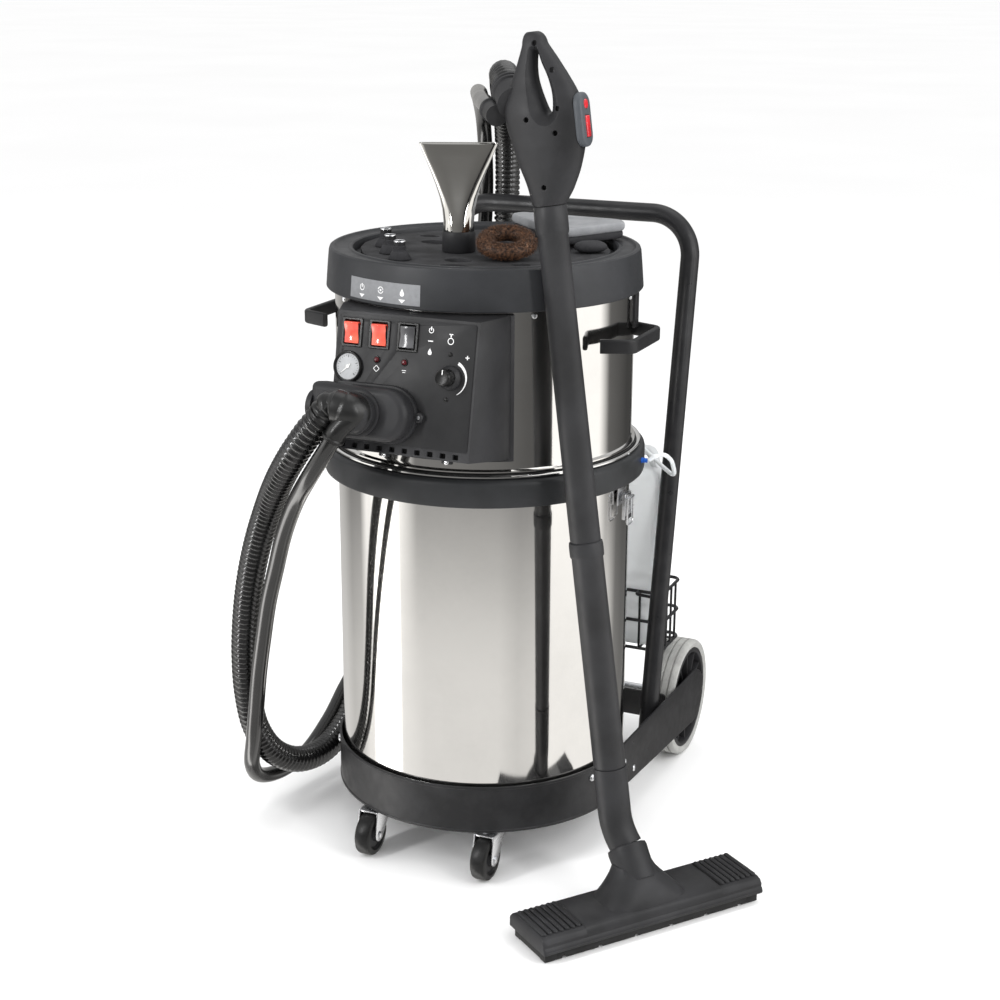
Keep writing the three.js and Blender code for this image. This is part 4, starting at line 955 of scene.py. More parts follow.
def on_lid(outline, angle, z, scale=1.0):
    """A flat mark wrapped on the side of the lid."""
    front, back = [], []
    for x, y in outline:
        height = z + y * scale
        radius = lid_radius(height) + 0.62
        a = math.radians(angle) + x * scale / radius
        front.append((radius * math.cos(a), radius * math.sin(a), height))
        radius -= 0.2
        back.append((radius * math.cos(a), radius * math.sin(a), height))
    n = len(outline)
    faces = [tuple(range(n)), tuple(reversed(range(n, 2 * n)))]
    faces += [(i, i + n, (i + 1) % n + n, (i + 1) % n) for i in range(n)]
    return Shape(front + back, faces)


def circle(radius, count=28, x=0.0, y=0.0):
    step = 2 * math.pi / count
    return [(x + radius * math.cos(i * step), y + radius * math.sin(i * step))
            for i in range(count)]


def arc_mark(radius, width, start, end, count=24):
    angles = [math.radians(start + (end - start) * i / count) for i in range(count + 1)]
    outside = [(radius * math.cos(a), radius * math.sin(a)) for a in angles]
    inner = radius - width
    inside = [(inner * math.cos(a), inner * math.sin(a)) for a in reversed(angles)]
    return outside + inside


DROP = [(0, 5), (1.6, 2), (2.9, -0.6), (3, -2.2), (2.2, -3.8), (0.8, -4.6), (-0.8, -4.6),
        (-2.2, -3.8), (-3, -2.2), (-2.9, -0.6), (-1.6, 2)]
TRIANGLE = [(-5, 2), (5, 2), (0, -2.5)]
BAR_MARK = [(-0.7, 0), (0.7, 0), (0.7, 4.6), (-0.7, 4.6)]
label_marks = total([
    on_lid(arc_mark(4.2, 1.0, 120, 420), -113, 793),
    on_lid(BAR_MARK, -113, 793),
    on_lid(arc_mark(4.4, 1.0, 10, 170), -104, 793),
    on_lid(arc_mark(4.4, 1.0, 190, 350), -104, 793),
    on_lid(circle(1.4), -104, 793),
    on_lid(DROP, -95, 793),
    on_lid(TRIANGLE, -113, 782.5),
    on_lid(TRIANGLE, -104, 782.5),
    on_lid(TRIANGLE, -95, 782.5),
])
make("lid_label_marks", label_marks, WHITE_PRINT, "head", angle=30)

tray_outline = []
for i in range(240):
    a = 2 * math.pi * i / 240
    r = 167 + 3 * math.cos(4 * a + 0.8) + 0.5 * math.cos(23 * a)
    tray_outline.append((r * math.cos(a), r * math.sin(a)))
TRAY_HOLES = ((-79, 17, 23, 16), (10, -106, 19, 14), (24, -146, 20, 12), (-6, 102, 17, 13),
              (-40, 112, 9, 9), (-112, 62, 15, 8), (-20, 60, 26, 9), (96, -104, 13, 10))
holes = []
for x, y, a, b in TRAY_HOLES:
    hole = [(x + a * math.cos(t), y + b * math.sin(t)) for t in
            (2 * math.pi * k / 40 for k in range(40))]
    holes.append(prism(hole, 9, 813.6))
tray = make("tray_insert", prism(tray_outline, 7.4, 812.4), TRAY_BLACK, "head", bevel=1.6,
            segments=3, cutters=holes)
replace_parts(tray, "accessory_tray")
# Near-black discs at the bottom of the tray's recesses: painted shade, not a part of the tray.
pit_shade_discs = Shape()
for x, y, a, b in TRAY_HOLES:
    pit_shade = [(x + (a + 0.4) * math.cos(t), y + (b + 0.4) * math.sin(t)) for t in
           (2 * math.pi * k / 40 for k in range(40))]
    pit_shade_discs = pit_shade_discs + prism(pit_shade, 0.8, 813.2)
make("tray_pit_shade", pit_shade_discs, PIT_SHADE_BLACK, "head")

# ---- Side grips ----------------------------------------------------------------------------------
GRIP_SECTION = [(u * 0.5, v * 0.5) for u, v in rounded_rectangle(18.4, 8.4, 3, 4)]
grip_route = rounded_path([(197, -84.6, 721), (236, -70, 721), (236, 28, 721), (197, 43.5, 721)],
                          13, 10)
grip_loop = tube(grip_route, 2.0, section=GRIP_SECTION)
for side, shape in both(grip_loop).items():
    piece = make(f"grip_loop_{side}", shape, PANEL_BLACK, "head", bevel=0.8)
    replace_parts(piece, f"side_handle_{side}")
for side, shape in both(block(4.4, 14.4, 46, 203, 30, 748)).items():
    make(f"grip_strap_{side}", shape, PANEL_BLACK, "head", bevel=1.4)

# ---- Control box ---------------------------------------------------------------------------------
FACE = Matrix.Translation((0, -228, 769)) @ Matrix.Rotation(1.3676, 4, "X")


FACE_OUT = FACE.to_3x3() @ Vector((0, 0, 1))


def in_face(x, down, out):
    """A point across the sloping face, down it and out of it."""
    return FACE @ Vector((x, -down, out))


def on_face(x, down, out=0.0):
    """The frame of a part that stands on the sloping face."""
    return FACE @ Matrix.Translation((x, -down, out))


def hull(points):
    made = bmesh.new()
    for p in points:
        made.verts.new(p)
    bmesh.ops.convex_hull(made, input=made.verts)
    bmesh.ops.dissolve_limit(made, angle_limit=0.02, verts=made.verts, edges=made.edges)
    made.verts.index_update()
    shape = Shape([v.co.copy() for v in made.verts],
                  [[v.index for v in f.verts] for f in made.faces])
    made.free()
    return shape


corners = []
for s in (-1, 1):
    corners += [in_face(s * 96.8, 0.3, 0), in_face(s * 96.8, 171.6, 0)]
    corners += [Vector((s * 111.6, -190, 769.6)), Vector((s * 111.6, -190, 588.6))]
    corners += [Vector((s * 114.6, -150, 769.6)), Vector((s * 114.6, -150, 584.6))]
VENTS, VENT_X, VENT_PITCH, VENT_DOWN = 10, -78, 17.4, 166
SWITCHES = (("power", -75, 1, RED), ("vacuum", -37, 1, RED), ("water", 2, 0, SMOKE))
SWITCH_DOWN, SWITCH_TILT = 26, 0.2
box_cuts = [rod(200.6, 260, 192).at(0, 0, 560)]
box_cuts += [
    prism(rounded_rectangle(7.6, 6.4, 1), 9).moved(on_face(VENT_X + i * VENT_PITCH, VENT_DOWN, -8))
    for i in range(VENTS)
]
box_cuts += [
    prism(rounded_rectangle(23, 32, 1), 14, -12).moved(on_face(x, SWITCH_DOWN))
    for _, x, _, _ in SWITCHES
]
control_box = make("control_housing", hull(corners), SHELL_BLACK, "head", bevel=4.5, segments=4,
                   cutters=box_cuts)
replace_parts(control_box, "control_box")
# A darker rubber block at the bottom of each vent slot: painted shade for the dark inside behind the
# vents.
for i in range(VENTS):
    pit_shade = block(8.6, 7.4, 1.2).moved(on_face(VENT_X + i * VENT_PITCH, VENT_DOWN, -7.6))
    make(f"vent_pit_{i}", pit_shade, RUBBER_BLACK, "head")
for index, x in enumerate((-20, 66)):
    lug = block(14, 6, 6, x, -172.5, -5).moved(FACE)
    make(f"housing_lug_{index}", lug, SHELL_BLACK, "head", bevel=1.2)
    put_screw(f"lug_screw_{index}", in_face(x, 173, -2.4), FACE_OUT, 3.4, ZINC, "head", 1.8)

rim_section = ((200.3, 582), (205, 582), (206.4, 584), (206.4, 767), (205, 770), (200.3, 770))
rear_rim = []
for i in range(25):
    a = math.radians(-90 - 34.5 + 69 * i / 24)
    rear_rim.append([(r * math.cos(a), r * math.sin(a), z) for r, z in rim_section])
make("housing_flange", loft(rear_rim), SHELL_BLACK, "head", bevel=1.2)

panel_cuts = [prism(rounded_rectangle(21, 30, 1), 20, -10).at(x, -SWITCH_DOWN, 0)
              for _, x, _, _ in SWITCHES]
panel = prism(rounded_rectangle(187, 156, 3), 3.4, -2.6).at(0, -81.5, 0)
panel_piece = make("panel_plate", panel.moved(FACE), PANEL_BLACK, "head", bevel=0.5,
                   cutters=[c.moved(FACE) for c in panel_cuts])
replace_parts(panel_piece, "control_panel")

ROCKER_SIDE = [(-12.6, -5), (12.6, -5), (13.5, 2.5), (13.0, 5.0), (9, 4.2), (4, 3.4), (0, 3.15),
               (-4, 3.4), (-9, 4.2), (-13.0, 5.0), (-13.5, 2.5)]
for name, x, tilt, material in SWITCHES:
    frame_rows = []
    for w, h, out in ((29, 36, 0.2), (29, 36, 1.9), (27.4, 34.4, 2.6), (22.6, 31.2, 2.6),
                      (21, 29.6, 1.2), (20.8, 29.4, -6), (29, 36, -6)):
        frame_rows.append([(x + px, py - SWITCH_DOWN, out)
                           for px, py in rounded_rectangle(w, h, 1.6, 4)])
    bezel = loft(frame_rows + [frame_rows[0]], caps=False).moved(FACE)
    make(f"{name}_bezel", bezel, BEZEL_BLACK, "head", angle=25)
    side = prism(ROCKER_SIDE, 19.4, -9.7)
    side = side.moved(quarter_turn("Y") @ quarter_turn("Z"))
    local = on_face(x, SWITCH_DOWN) @ Matrix.Rotation(tilt * SWITCH_TILT, 4, "X")
    rocker = make(f"{name}_rocker_body", side.moved(local), material, f"{name}_rocker", bevel=0.7)
    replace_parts(rocker, f"{name}_switch")
    cheeks = block(1.1, 24, 3.2, -9.7, 0, 1.8) + block(1.1, 24, 3.2, 9.7, 0, 1.8)
    make(f"{name}_rocker_cheeks", cheeks.moved(local), BEZEL_BLACK, f"{name}_rocker", bevel=0.2)

GAUGE_AT = on_face(-77, 69)
case = lathe([(0, -13.6), (14.6, -13.6), (14.6, 0.9), (19.8, 0.9), (19.9, 3.6), (19.2, 5),
              (18, 5.4),
              (17, 5), (16.6, 3.4), (16.4, 2), (0, 2)], 96)
gauge = make("gauge_case", case.moved(GAUGE_AT), BEZEL_BLACK, "head", angle=40)
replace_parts(gauge, "pressure_gauge")
dial_at = GAUGE_AT @ Matrix.Translation((0, 0, 1.95))
make("gauge_dial", rod(16.2, 0.25, 72).moved(dial_at), DIAL_GREY,
     "head")
ticks = Shape()
for i in range(21):
    long_tick = i % 5 == 0
    tick = block(0.75 if long_tick else 0.4, 3.2 if long_tick else 1.7, 0.15,
                 0, 14.4 - (1.6 if long_tick else 0.85), 0)
    ticks = ticks + tick.turned(135 - 13.5 * i, "Z")
ticks = ticks.moved(GAUGE_AT @ Matrix.Translation((0, 0, 2.24)))
make("gauge_ticks", ticks, PANEL_BLACK, "head")
pointer = prism([(-1.0, -4.5), (1.0, -4.5), (0.35, 12.2), (-0.35, 12.2)], 0.5, 0.35)
pointer = (pointer + rod(2.3, 1.3, 28)).moved(
    GAUGE_AT @ Matrix.Translation((0, 0, 2.35)) @ Matrix.Rotation(math.radians(135), 4, "Z"))
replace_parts(make("gauge_pointer", pointer, PAPER, "needle"), "gauge_needle")

LAMP_DOWN = 57
for index, x in enumerate((-38, 0)):
    lamp = lathe([(0, 0), (3.4, 0), (3.3, 1.2), (2.7, 2.6), (1.5, 3.4), (0, 3.7)], 36)
    make(f"lamp_{index}", lamp.moved(on_face(x, LAMP_DOWN, 0.8)), LAMP_RED, "head")
    collar = lathe([(3.4, 0), (4.8, 0), (4.5, 1.2), (3.6, 1.4), (3.4, 0)], 36)
    make(f"lamp_collar_{index}", collar.moved(on_face(x, LAMP_DOWN, 0.8)), BEZEL_BLACK, "head")


def flat(outline, x, down, turn_by=0.0, scale=1.0):
    """A printed mark on the panel."""
    a = math.radians(turn_by)
    moved = [(x + scale * (u * math.cos(a) - v * math.sin(a)),
              -down + scale * (u * math.sin(a) + v * math.cos(a))) for u, v in outline]
    return prism(moved, 0.12, 0.8)


def frame_mark(w, h, line, x, down, turn_by=0.0):
    marks = Shape()
    sides = ((0, h / 2, w, line), (0, -h / 2, w, line), (-w / 2, 0, line, h), (w / 2, 0, line, h))
    for u, v, a, b in sides:
        bar = [(u + px, v + py) for px, py in dash(a, b)]
        marks = marks + flat(bar, x, down, turn_by)
    return marks


def dash(w, h):
    return [(-w / 2, -h / 2), (w / 2, -h / 2), (w / 2, h / 2), (-w / 2, h / 2)]


knob_arc = []
ARC_STEPS = 28
for i in range(ARC_STEPS + 1):
    a = math.radians(62 - 124 * i / ARC_STEPS)
    knob_arc.append((22.6 * math.cos(a), 22.6 * math.sin(a)))
for i in range(ARC_STEPS, -1, -1):
    a = math.radians(62 - 124 * i / ARC_STEPS)
    width = 3.4 * (1 - i / ARC_STEPS) + 0.5
    knob_arc.append(((22.6 - width) * math.cos(a), (22.6 - width) * math.sin(a)))
marks = total([
    flat(arc_mark(3.4, 0.9, 120, 420), 33, 15),
    flat(BAR_MARK, 33, 15),
    flat(dash(6.4, 1.3), 33, 28),
    flat(DROP, 33, 41, 0, 0.85),
    flat(knob_arc, 63, 70),
    flat(dash(5.2, 1.2), 84, 44),
    flat(dash(1.2, 5.2), 84, 44),
    flat(arc_mark(4.2, 1.0, 0, 180), 60, 26),
    flat(arc_mark(4.2, 1.0, 180, 360), 60, 26),
    flat(dash(1.4, 3.6), 60, 19.5),
    flat(dash(5.0, 1.2), 60, 17.6),
    frame_mark(5.6, 5.6, 0.8, -38, 68, 45),
    flat(dash(5.6, 0.8), 0, 67),
    flat(dash(3.8, 0.8), 0, 69.4),
])
make("panel_marks", marks.moved(FACE), WHITE_PRINT, "head")
for index, (x, down) in enumerate(((61, 42), (60, 97))):
    put_screw(f"panel_screw_{index}", in_face(x, down, 0.7), FACE_OUT, 2.9, BEZEL_BLACK, "head",
              1.6)

KNOB_AT = on_face(63, 70)
skirt = lathe([(0, 0.9), (15, 0.9), (15, 3.4), (14.2, 5), (12.2, 7), (11, 9), (0, 9)], 96)
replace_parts(make("knob_skirt", skirt.moved(KNOB_AT), SHELL_BLACK, "knob", angle=40), "steam_knob")
grip_rows = []
for out, r in ((8, 10.9), (10, 10.7), (21.6, 10.2), (23.6, 9.4), (24.6, 7.8), (24.2, 6.6)):
    row = []
    for i in range(96):
        a = 2 * math.pi * i / 96
        flute = 0.35 * max(0, math.cos(12 * a)) if out < 23 else 0
        row.append(((r - flute) * math.cos(a), (r - flute) * math.sin(a), out))
    grip_rows.append(row)
make("knob_grip", loft(grip_rows).moved(KNOB_AT), BEZEL_BLACK, "knob", angle=40)
make("knob_line", block(1.1, 6, 0.5, 0, 6.6, 24.3).moved(KNOB_AT), WHITE_PRINT, "knob")


def stadium(left, right, r, corner=8, steps=24):
    """A plate outline with a round right end and a square left end."""
    outline = [(right + r * math.cos(a), r * math.sin(a)) for a in
               (math.radians(-90 + 180 * i / steps) for i in range(steps + 1))]
    for quarter, cy in ((90, r - corner), (180, corner - r)):
        outline += [(left + corner + corner * math.cos(a), cy + corner * math.sin(a)) for a in
                    (math.radians(quarter + 90 * i / 8) for i in range(9))]
    return outline


socket_rows = []
for inset, out in ((0, 0.9), (0, 20), (0.7, 23.5), (2.4, 26.6), (5, 28.9), (8, 29.9), (10, 30.2)):
    socket_rows.append([(x - 50, y - 123, out) for x, y in
                        stadium(-63.6 + inset, 38, 33.2 - inset, max(8 - inset, 0.6))])
socket = make("socket_housing", loft(socket_rows).moved(FACE), SHELL_BLACK, "head", angle=30)
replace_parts(socket, "hose_socket")
foot_rows = []
for grow, out in ((3.2, 0.9), (3.2, 5.4), (2.2, 7.2), (0.2, 7.6)):
    foot_rows.append([(x - 50, y - 123, out) for x, y in stadium(-40, 38, 33.2 + grow)])
make("socket_foot", loft(foot_rows).moved(FACE), SHELL_BLACK, "head")
boss = lathe([(0, 0), (6.4, 0), (6.2, 6), (5, 7.4), (3.2, 7.6), (3, 5.8), (0, 5.8)], 40)
make("socket_boss", boss.moved(on_face(27.5, 122.5, 0.6)), SHELL_BLACK, "head")
put_screw("socket_screw", in_face(27.5, 122.5, 6.2), FACE_OUT, 2.8, ZINC, "head", 1.4)
cap = lathe([(0, 0), (17, 0), (19.6, 1.4), (20, 4), (20, 8.5), (0, 8.5)], 64)
cap = along(cap, in_face(-117, 121, 15), in_face(-109, 121, 15))
make("socket_end_cap", cap, SHELL_BLACK, "head")

elbow_collar = lathe([(0, 0), (29.4, 0), (29.4, 3.4), (28, 4.6), (25.4, 5), (25.4, 12),
                      (26.6, 12.8),
                      (26.6, 16), (25, 17), (24.4, 22), (22.8, 26.4), (19.4, 29.6), (14, 31.6),
                      (0, 32.0)], 96)
elbow = make("elbow_collar", elbow_collar.moved(on_face(-43, 123, 29.6)),
             SHELL_BLACK, "head", angle=32)
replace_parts(elbow, "hose_elbow")


def cuff(name, points, radius, body, material=SHELL_BLACK, rings=3):
    """A hose cuff with raised rings at its open end."""
    path, length = evenly(spline(points, 12), 1.6)

    def size(i):
        left = length - i * length / (len(path) - 1)
        for k in range(rings):
            if abs(left - 3.2 - 7.4 * k) < 2.1:
                return radius + 2.0
        return radius

    return make(name, tube(path, size, 40), material, body, angle=40)


suction_start = Vector(SUCTION_ROUTE[0])
suction_back = (suction_start - Vector(SUCTION_ROUTE[1])).normalized()
elbow_line = [in_face(-43, 123, 34), in_face(-43.5, 121, 50), suction_start + suction_back * 26,
              suction_start + suction_back * 10, suction_start]
elbow_path, _ = evenly(spline(elbow_line, 12), HOSE_STEP)
ELBOW_RIBS_FROM = 0.52


def elbow_size(i):
    """Nested sleeves that narrow towards the hose, then the first ribs."""
    t = i / (len(elbow_path) - 1)
    if t > ELBOW_RIBS_FROM:
        phase = ((len(elbow_path) - 1 - i) * HOSE_STEP / RIB_PITCH) % 1.0
        return SUCTION_R + 0.4 - RIB_DEPTH * (0.5 - 0.5 * math.cos(2 * math.pi * phase)) ** 2
    if t > ELBOW_RIBS_FROM - 0.16:
        return 21.6
    if t > ELBOW_RIBS_FROM - 0.32:
        return 23.4
    return 24.6


make("elbow_suction_cuff", tube(elbow_path, elbow_size, 40), CUFF_BLACK, "head", angle=40)
steam_start = Vector(STEAM_ROUTE[0])
steam_back = (steam_start - Vector(STEAM_ROUTE[1])).normalized()
cuff("elbow_steam_cuff",
     [in_face(-39, 129, 42), in_face(-39, 129, 56), steam_start + steam_back * 14,
      steam_start + steam_back * 6, steam_start], 12.6, "head", CUFF_BLACK, rings=1)

# ---- Lance ---------------------------------------------------------------------------------------
LANCE_FOOT = Vector((264, -175, 136))
LANCE_TOP = Vector((154, -151.3, 900))
GUN_BASE = 776.3


def on_lance(shape):
    return along(shape, LANCE_FOOT, LANCE_TOP)


lower = lathe([(0, 57.6), (20.4, 57.6), (20.8, 58.4), (20.1, 336), (21.6, 338), (21.8, 341),
               (21.8, 352), (21.2, 356), (19, 357.8), (0, 357.8)], 96)
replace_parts(make("tube_lower", on_lance(lower), LANCE_BLACK, "head", angle=40), "lance_lower_tube")
upper = lathe([(0, 358), (19.2, 358), (19.5, 359), (18.7, 740), (19.8, 742), (20.4, 746),
               (20.6, 760), (20.4, 774), (19.4, 775.6), (0, 775.6)], 96)
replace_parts(make("tube_upper", on_lance(upper), LANCE_BLACK, "head", angle=40), "lance_upper_tube")

GUN_BACK = [(-20.5, 0), (-25, 26), (-32, 50), (-37.5, 74), (-42.5, 96), (-43.5, 116), (-37, 136),
            (-27, 156), (-18.5, 174), (-11.5, 189), (-3, 204)]
GUN_FRONT = [(20.5, 0), (32, 16), (43, 38), (51, 62), (56, 84), (56, 108), (50, 130), (39.5, 152),
             (28.5, 172), (18, 189), (6, 204)]
GUN_EYE = [(6.5, 183), (11.5, 166), (17.5, 148), (20.5, 128), (18.5, 110), (13, 110), (7, 126),
           (2, 148), (2.4, 168)]


def edge_at(points, z):
    """Where a side of the handle's outline lies at height z."""
    zs = [p[1] for p in points]
    xs = [p[0] for p in points]
    if z > zs[-2]:
        t = (z - zs[-2]) / (zs[-1] - zs[-2])
        return xs[-2] + (xs[-1] - xs[-2]) * (1 - math.sqrt(max(0.0, 1 - t * t)))
    for k in range(len(zs) - 1):
        if zs[k] <= z <= zs[k + 1]:
            t = (z - zs[k]) / (zs[k + 1] - zs[k])
            before = (xs[k] - xs[k - 1]) if k else (xs[k + 1] - xs[k])
            after = (xs[min(k + 2, len(xs) - 1)] - xs[k + 1]) if k + 2 < len(xs) else 0
            m0 = (xs[k + 1] - xs[k] + before) / 2
            m1 = (xs[k + 1] - xs[k] + after) / 2
            h = xs[k] + m0 * t + (3 * (xs[k + 1] - xs[k]) - 2 * m0 - m1) * t * t
            return h + (2 * (xs[k] - xs[k + 1]) + m0 + m1) * t**3
    return xs[-1]


def gun_depth(z):
    """Half thickness of the handle: round at the neck, full in the belly, slim at the arch."""
    knots = ((0, 20.8), (30, 22.4), (70, 24), (110, 23.5), (140, 19.5), (170, 16.5), (190, 14.5),
             (201, 10.5), (205.5, 5.5))
    return float(np.interp(z, [k[0] for k in knots], [k[1] for k in knots]))


gun_rows = []
for z in list(np.linspace(0, 190, 58)) + [193, 196, 198.5, 200.5, 202, 203, 203.7]:
    left, right = edge_at(GUN_BACK, z), edge_at(GUN_FRONT, z)
    gun_rows.append(oval((right - left) / 2, gun_depth(z), z, (left + right) / 2, 0,
                         2.0 + min(z, 60) / 100, 72))
gun_body = loft(gun_rows).at(0, 0, GUN_BASE)


def closed_spline(points, per_span=8):
    n = len(points)
    smooth = []
    for i in range(n):
        p0, p1, p2, p3 = (Vector(points[(i + k) % n]) for k in (-1, 0, 1, 2))
        for k in range(per_span):
            t = k / per_span
            smooth.append(0.5 * (2 * p1 + (p2 - p0) * t + (2 * p0 - 5 * p1 + 4 * p2 - p3) * t * t
                                 + (3 * p1 - p0 - 3 * p2 + p3) * t**3))
    return smooth


eye_line = closed_spline(GUN_EYE)


def eye_row(y, grow):
    row = []
    n = len(eye_line)
    for i in range(n):
        tangent = (eye_line[(i + 1) % n] - eye_line[i - 1]).normalized()
        outward = Vector((-tangent.y, tangent.x)) * -1
        centre = Vector((11, 145))
        if outward.dot(eye_line[i] - centre) < 0:
            outward = -outward
        p = eye_line[i] + outward * grow
        row.append((p.x, y, p.y + GUN_BASE))
    return row


EYE_FLARE = ((0, 0), (5, 0.3), (9, 1.4), (12, 3), (15, 5.4), (18, 8.4), (22, 13), (27, 19))
eye_cut = loft([eye_row(-y, g) for y, g in reversed(EYE_FLARE)]
               + [eye_row(y, g) for y, g in EYE_FLARE[1:]])
GUN_HOLES = ((8, 190), (27, 157), (-9, 103), (31, 112), (26, 84), (4, 22))
hole_cuts = []
for x, z in GUN_HOLES:
    hole = rod(3.3, 12, 24).moved(quarter_turn("X"))
    hole_cuts.append(hole.at(x, -gun_depth(z) * 0.62, z + GUN_BASE))
pad_cut = block(16, 34.6, 67, 58.5, 0, GUN_BASE + 96)
front_half = block(160, 60, 260, 6, 30.2, GUN_BASE + 100)
rear_half = block(160, 60, 260, 6, -30.2, GUN_BASE + 100)
gun_front = make("grip_shell_front", on_lance(gun_body), SHELL_BLACK, "head", bevel=0.5, angle=50,
                 cutters=[on_lance(c) for c in [eye_cut, front_half, pad_cut] + hole_cuts])
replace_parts(gun_front, "gun_shell_front")
gun_rear = make("grip_shell_rear", on_lance(gun_body), SHELL_BLACK, "head", bevel=0.5, angle=50,
                cutters=[on_lance(c) for c in (eye_cut, rear_half, pad_cut)])
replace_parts(gun_rear, "gun_shell_rear")

pad_rows = []
for inset, out in ((1.2, 0), (0.2, 1.4), (0, 3), (0, 6.4), (0.8, 8.4), (2.4, 9.6), (4.5, 10)):
    pad_rows.append([(49.6 + out, y, z + 96 + GUN_BASE) for y, z in
                     rounded_rectangle(33 - 2 * inset, 64 - 2 * inset, 15 - inset, 10)])
pad_shape = loft(pad_rows)
pad_cuts = [rod(6.3, 16, 36).turned(90, "Y").at(53.4, 0, GUN_BASE + 114),
            block(16, 12.6, 26.6, 61.4, 0, GUN_BASE + 88)]
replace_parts(make("button_pad", on_lance(pad_shape), PAD_BUTTON, "head", angle=30,
                 cutters=[on_lance(c) for c in pad_cuts]), "gun_button_pad")
steam_cap = lathe([(0, 0), (5.8, 0), (5.8, 3.8), (5, 4.8), (3, 5.3), (0, 5.4)], 40)
steam_cap = steam_cap.turned(90, "Y").at(55.8, 0, GUN_BASE + 114)
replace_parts(make("steam_button_cap", on_lance(steam_cap), RED_BUTTON, "steam_trigger"),
            "steam_button")
suction_cap = block(5.2, 11.4, 25.4, 58.4, 0, GUN_BASE + 88)
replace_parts(make("suction_button_cap", on_lance(suction_cap), RED_BUTTON, "suction_trigger",
                 bevel=1.2, segments=3), "suction_button")


def gun_cuff(name, route, radius, length, rings):
    end = Vector(route[-1])
    ahead = (end - Vector(route[-2])).normalized()
    cuff(name, [end + ahead * length, end + ahead * length * 0.6, end + ahead * length * 0.3, end],
         radius, "head", rings=rings)


gun_cuff("handle_suction_cuff", SUCTION_ROUTE, 20.8, 44, 2)
gun_cuff("handle_steam_cuff", STEAM_ROUTE, 12.8, 46, 1)

# ---- Floor head ----------------------------------------------------------------------------------
TOOL = Matrix.Translation((311, -203, 0)) @ Matrix.Rotation(0.9224, 4, "Z")
socket_end = TOOL @ Vector((0, 32, 88))
start = on_lance(Shape([(0, 0, 57)])).points[0]
corner = on_lance(Shape([(0, 0, -26)])).points[0]
end = socket_end + (corner - socket_end).normalized() * 1
bend_path = rounded_path([start, corner, end], 70, 20)
bend_tube = make("bend_tube", tube(bend_path, 21.6, 64), LANCE_BLACK, "head", angle=40)
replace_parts(bend_tube, "lance_bend")


def tool_section(x, crown):
    """One slice of the floor head's body, front lip towards -Y."""
    return [(x, -44.4, 14), (x, -44.8, 17), (x, -43.4, 21), (x, -41.4, 23), (x, -41.6, 27),
            (x, -38.4, 33 + crown * 0.5), (x, -33, 35.6 + crown), (x, 0, 36.6 + crown),
            (x, 33, 35.6 + crown), (x, 40, 32), (x, 44.6, 27), (x, 44.8, 17), (x, 44.4, 14)]


body_rows = []
for x in (-166.6, -165, -160, -104, -102.5, 102.5, 104, 160, 165, 166.6):
    crown = {166.6: -2.6, 165: -1.2, 160: -0.4, 104: -0.4, 102.5: 0.9}[abs(x)]
    row = tool_section(x, crown)
    if abs(x) > 166:
        row = [(px, py * 0.97, 14 + (pz - 14) * 0.9) for px, py, pz in row]
    body_rows.append(row)
tool_body = loft(body_rows)
saddle_rows = []
for a, b, z, y, power in ((66, 37, 30, 0, 3.6), (58, 36, 38, 0, 3.2), (50, 34, 46, 2, 2.8),
                          (42, 32, 54, 5, 2.5), (35, 30, 61, 8.5, 2.3), (29, 28, 68, 13, 2.1),
                          (26.6, 26.6, 74, 17.5, 2)):
    saddle_rows.append(oval(a, b, z, 0, y, power, 72))
saddle = loft(saddle_rows)
floor_body = make("tool_body", tool_body.moved(TOOL), SHELL_BLACK, "head", bevel=0.8, angle=30)
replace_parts(floor_body, "floor_head")
make("tool_saddle", saddle.moved(TOOL), SHELL_BLACK, "head", angle=50)
neck_shape = lathe([(0, 0), (25.6, 0), (25.8, 30), (26.2, 42), (25.4, 46.4), (23.4, 47.2),
                    (0, 47.2)],
                   96)
make("tool_neck", along(neck_shape, TOOL @ Vector((0, 2, 52)), socket_end), SHELL_BLACK, "head",
     angle=40)
ribs = Shape()
for side in (-1, 1):
    for k in range(7):
        rib = loft([
            [(w, y, z) for w, y in rounded_rectangle(6.6 - 2 * i, 66 - 2 * i, 3.2 - i * 0.9, 5)]
            for i, z in ((0, 0), (0, 1.6), (0.7, 2.7), (1.8, 3.3))
        ])
        ribs = ribs + rib.at(side * (109.6 + 8.3 * k), 0, 35.4)
make("tool_rib_pads", ribs.moved(TOOL), SHELL_BLACK, "head", angle=40)
seams = block(0.7, 65, 1.2, -105.6, 0, 36.2) + block(0.7, 65, 1.2, 105.6, 0, 36.2)
make("tool_seams", seams.moved(TOOL), RUBBER_BLACK, "head")
bead_path = [(-164, -43.6, 16.4), (164, -43.6, 16.4)]
make("tool_bead", tube(bead_path, 1.7, 16).moved(TOOL), SHELL_BLACK, "head")

notched = [(-162, 12.4), (-162, 0.8)]
for k in range(6):
    x = -134 + k * 53.6
    notched += [(x - 3, 0.8), (x - 2, 3.6), (x + 2, 3.6), (x + 3, 0.8)]
notched += [(162, 0.8), (162, 12.4)]
lips = Shape()
for y in (-37.8, 25.4):
    strip = prism(notched, 12.4).moved(quarter_turn("X"))
    lips = lips + strip.at(0, y + 12.4, 0)
lips = lips + block(17, 76, 11, -153.4, 0, 6.9) + block(17, 76, 11, 153.4, 0, 6.9)
squeegee = make("squeegee_lips", lips.moved(TOOL), RUBBER_BLACK, "head", bevel=0.6)
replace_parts(squeegee, "floor_squeegee")

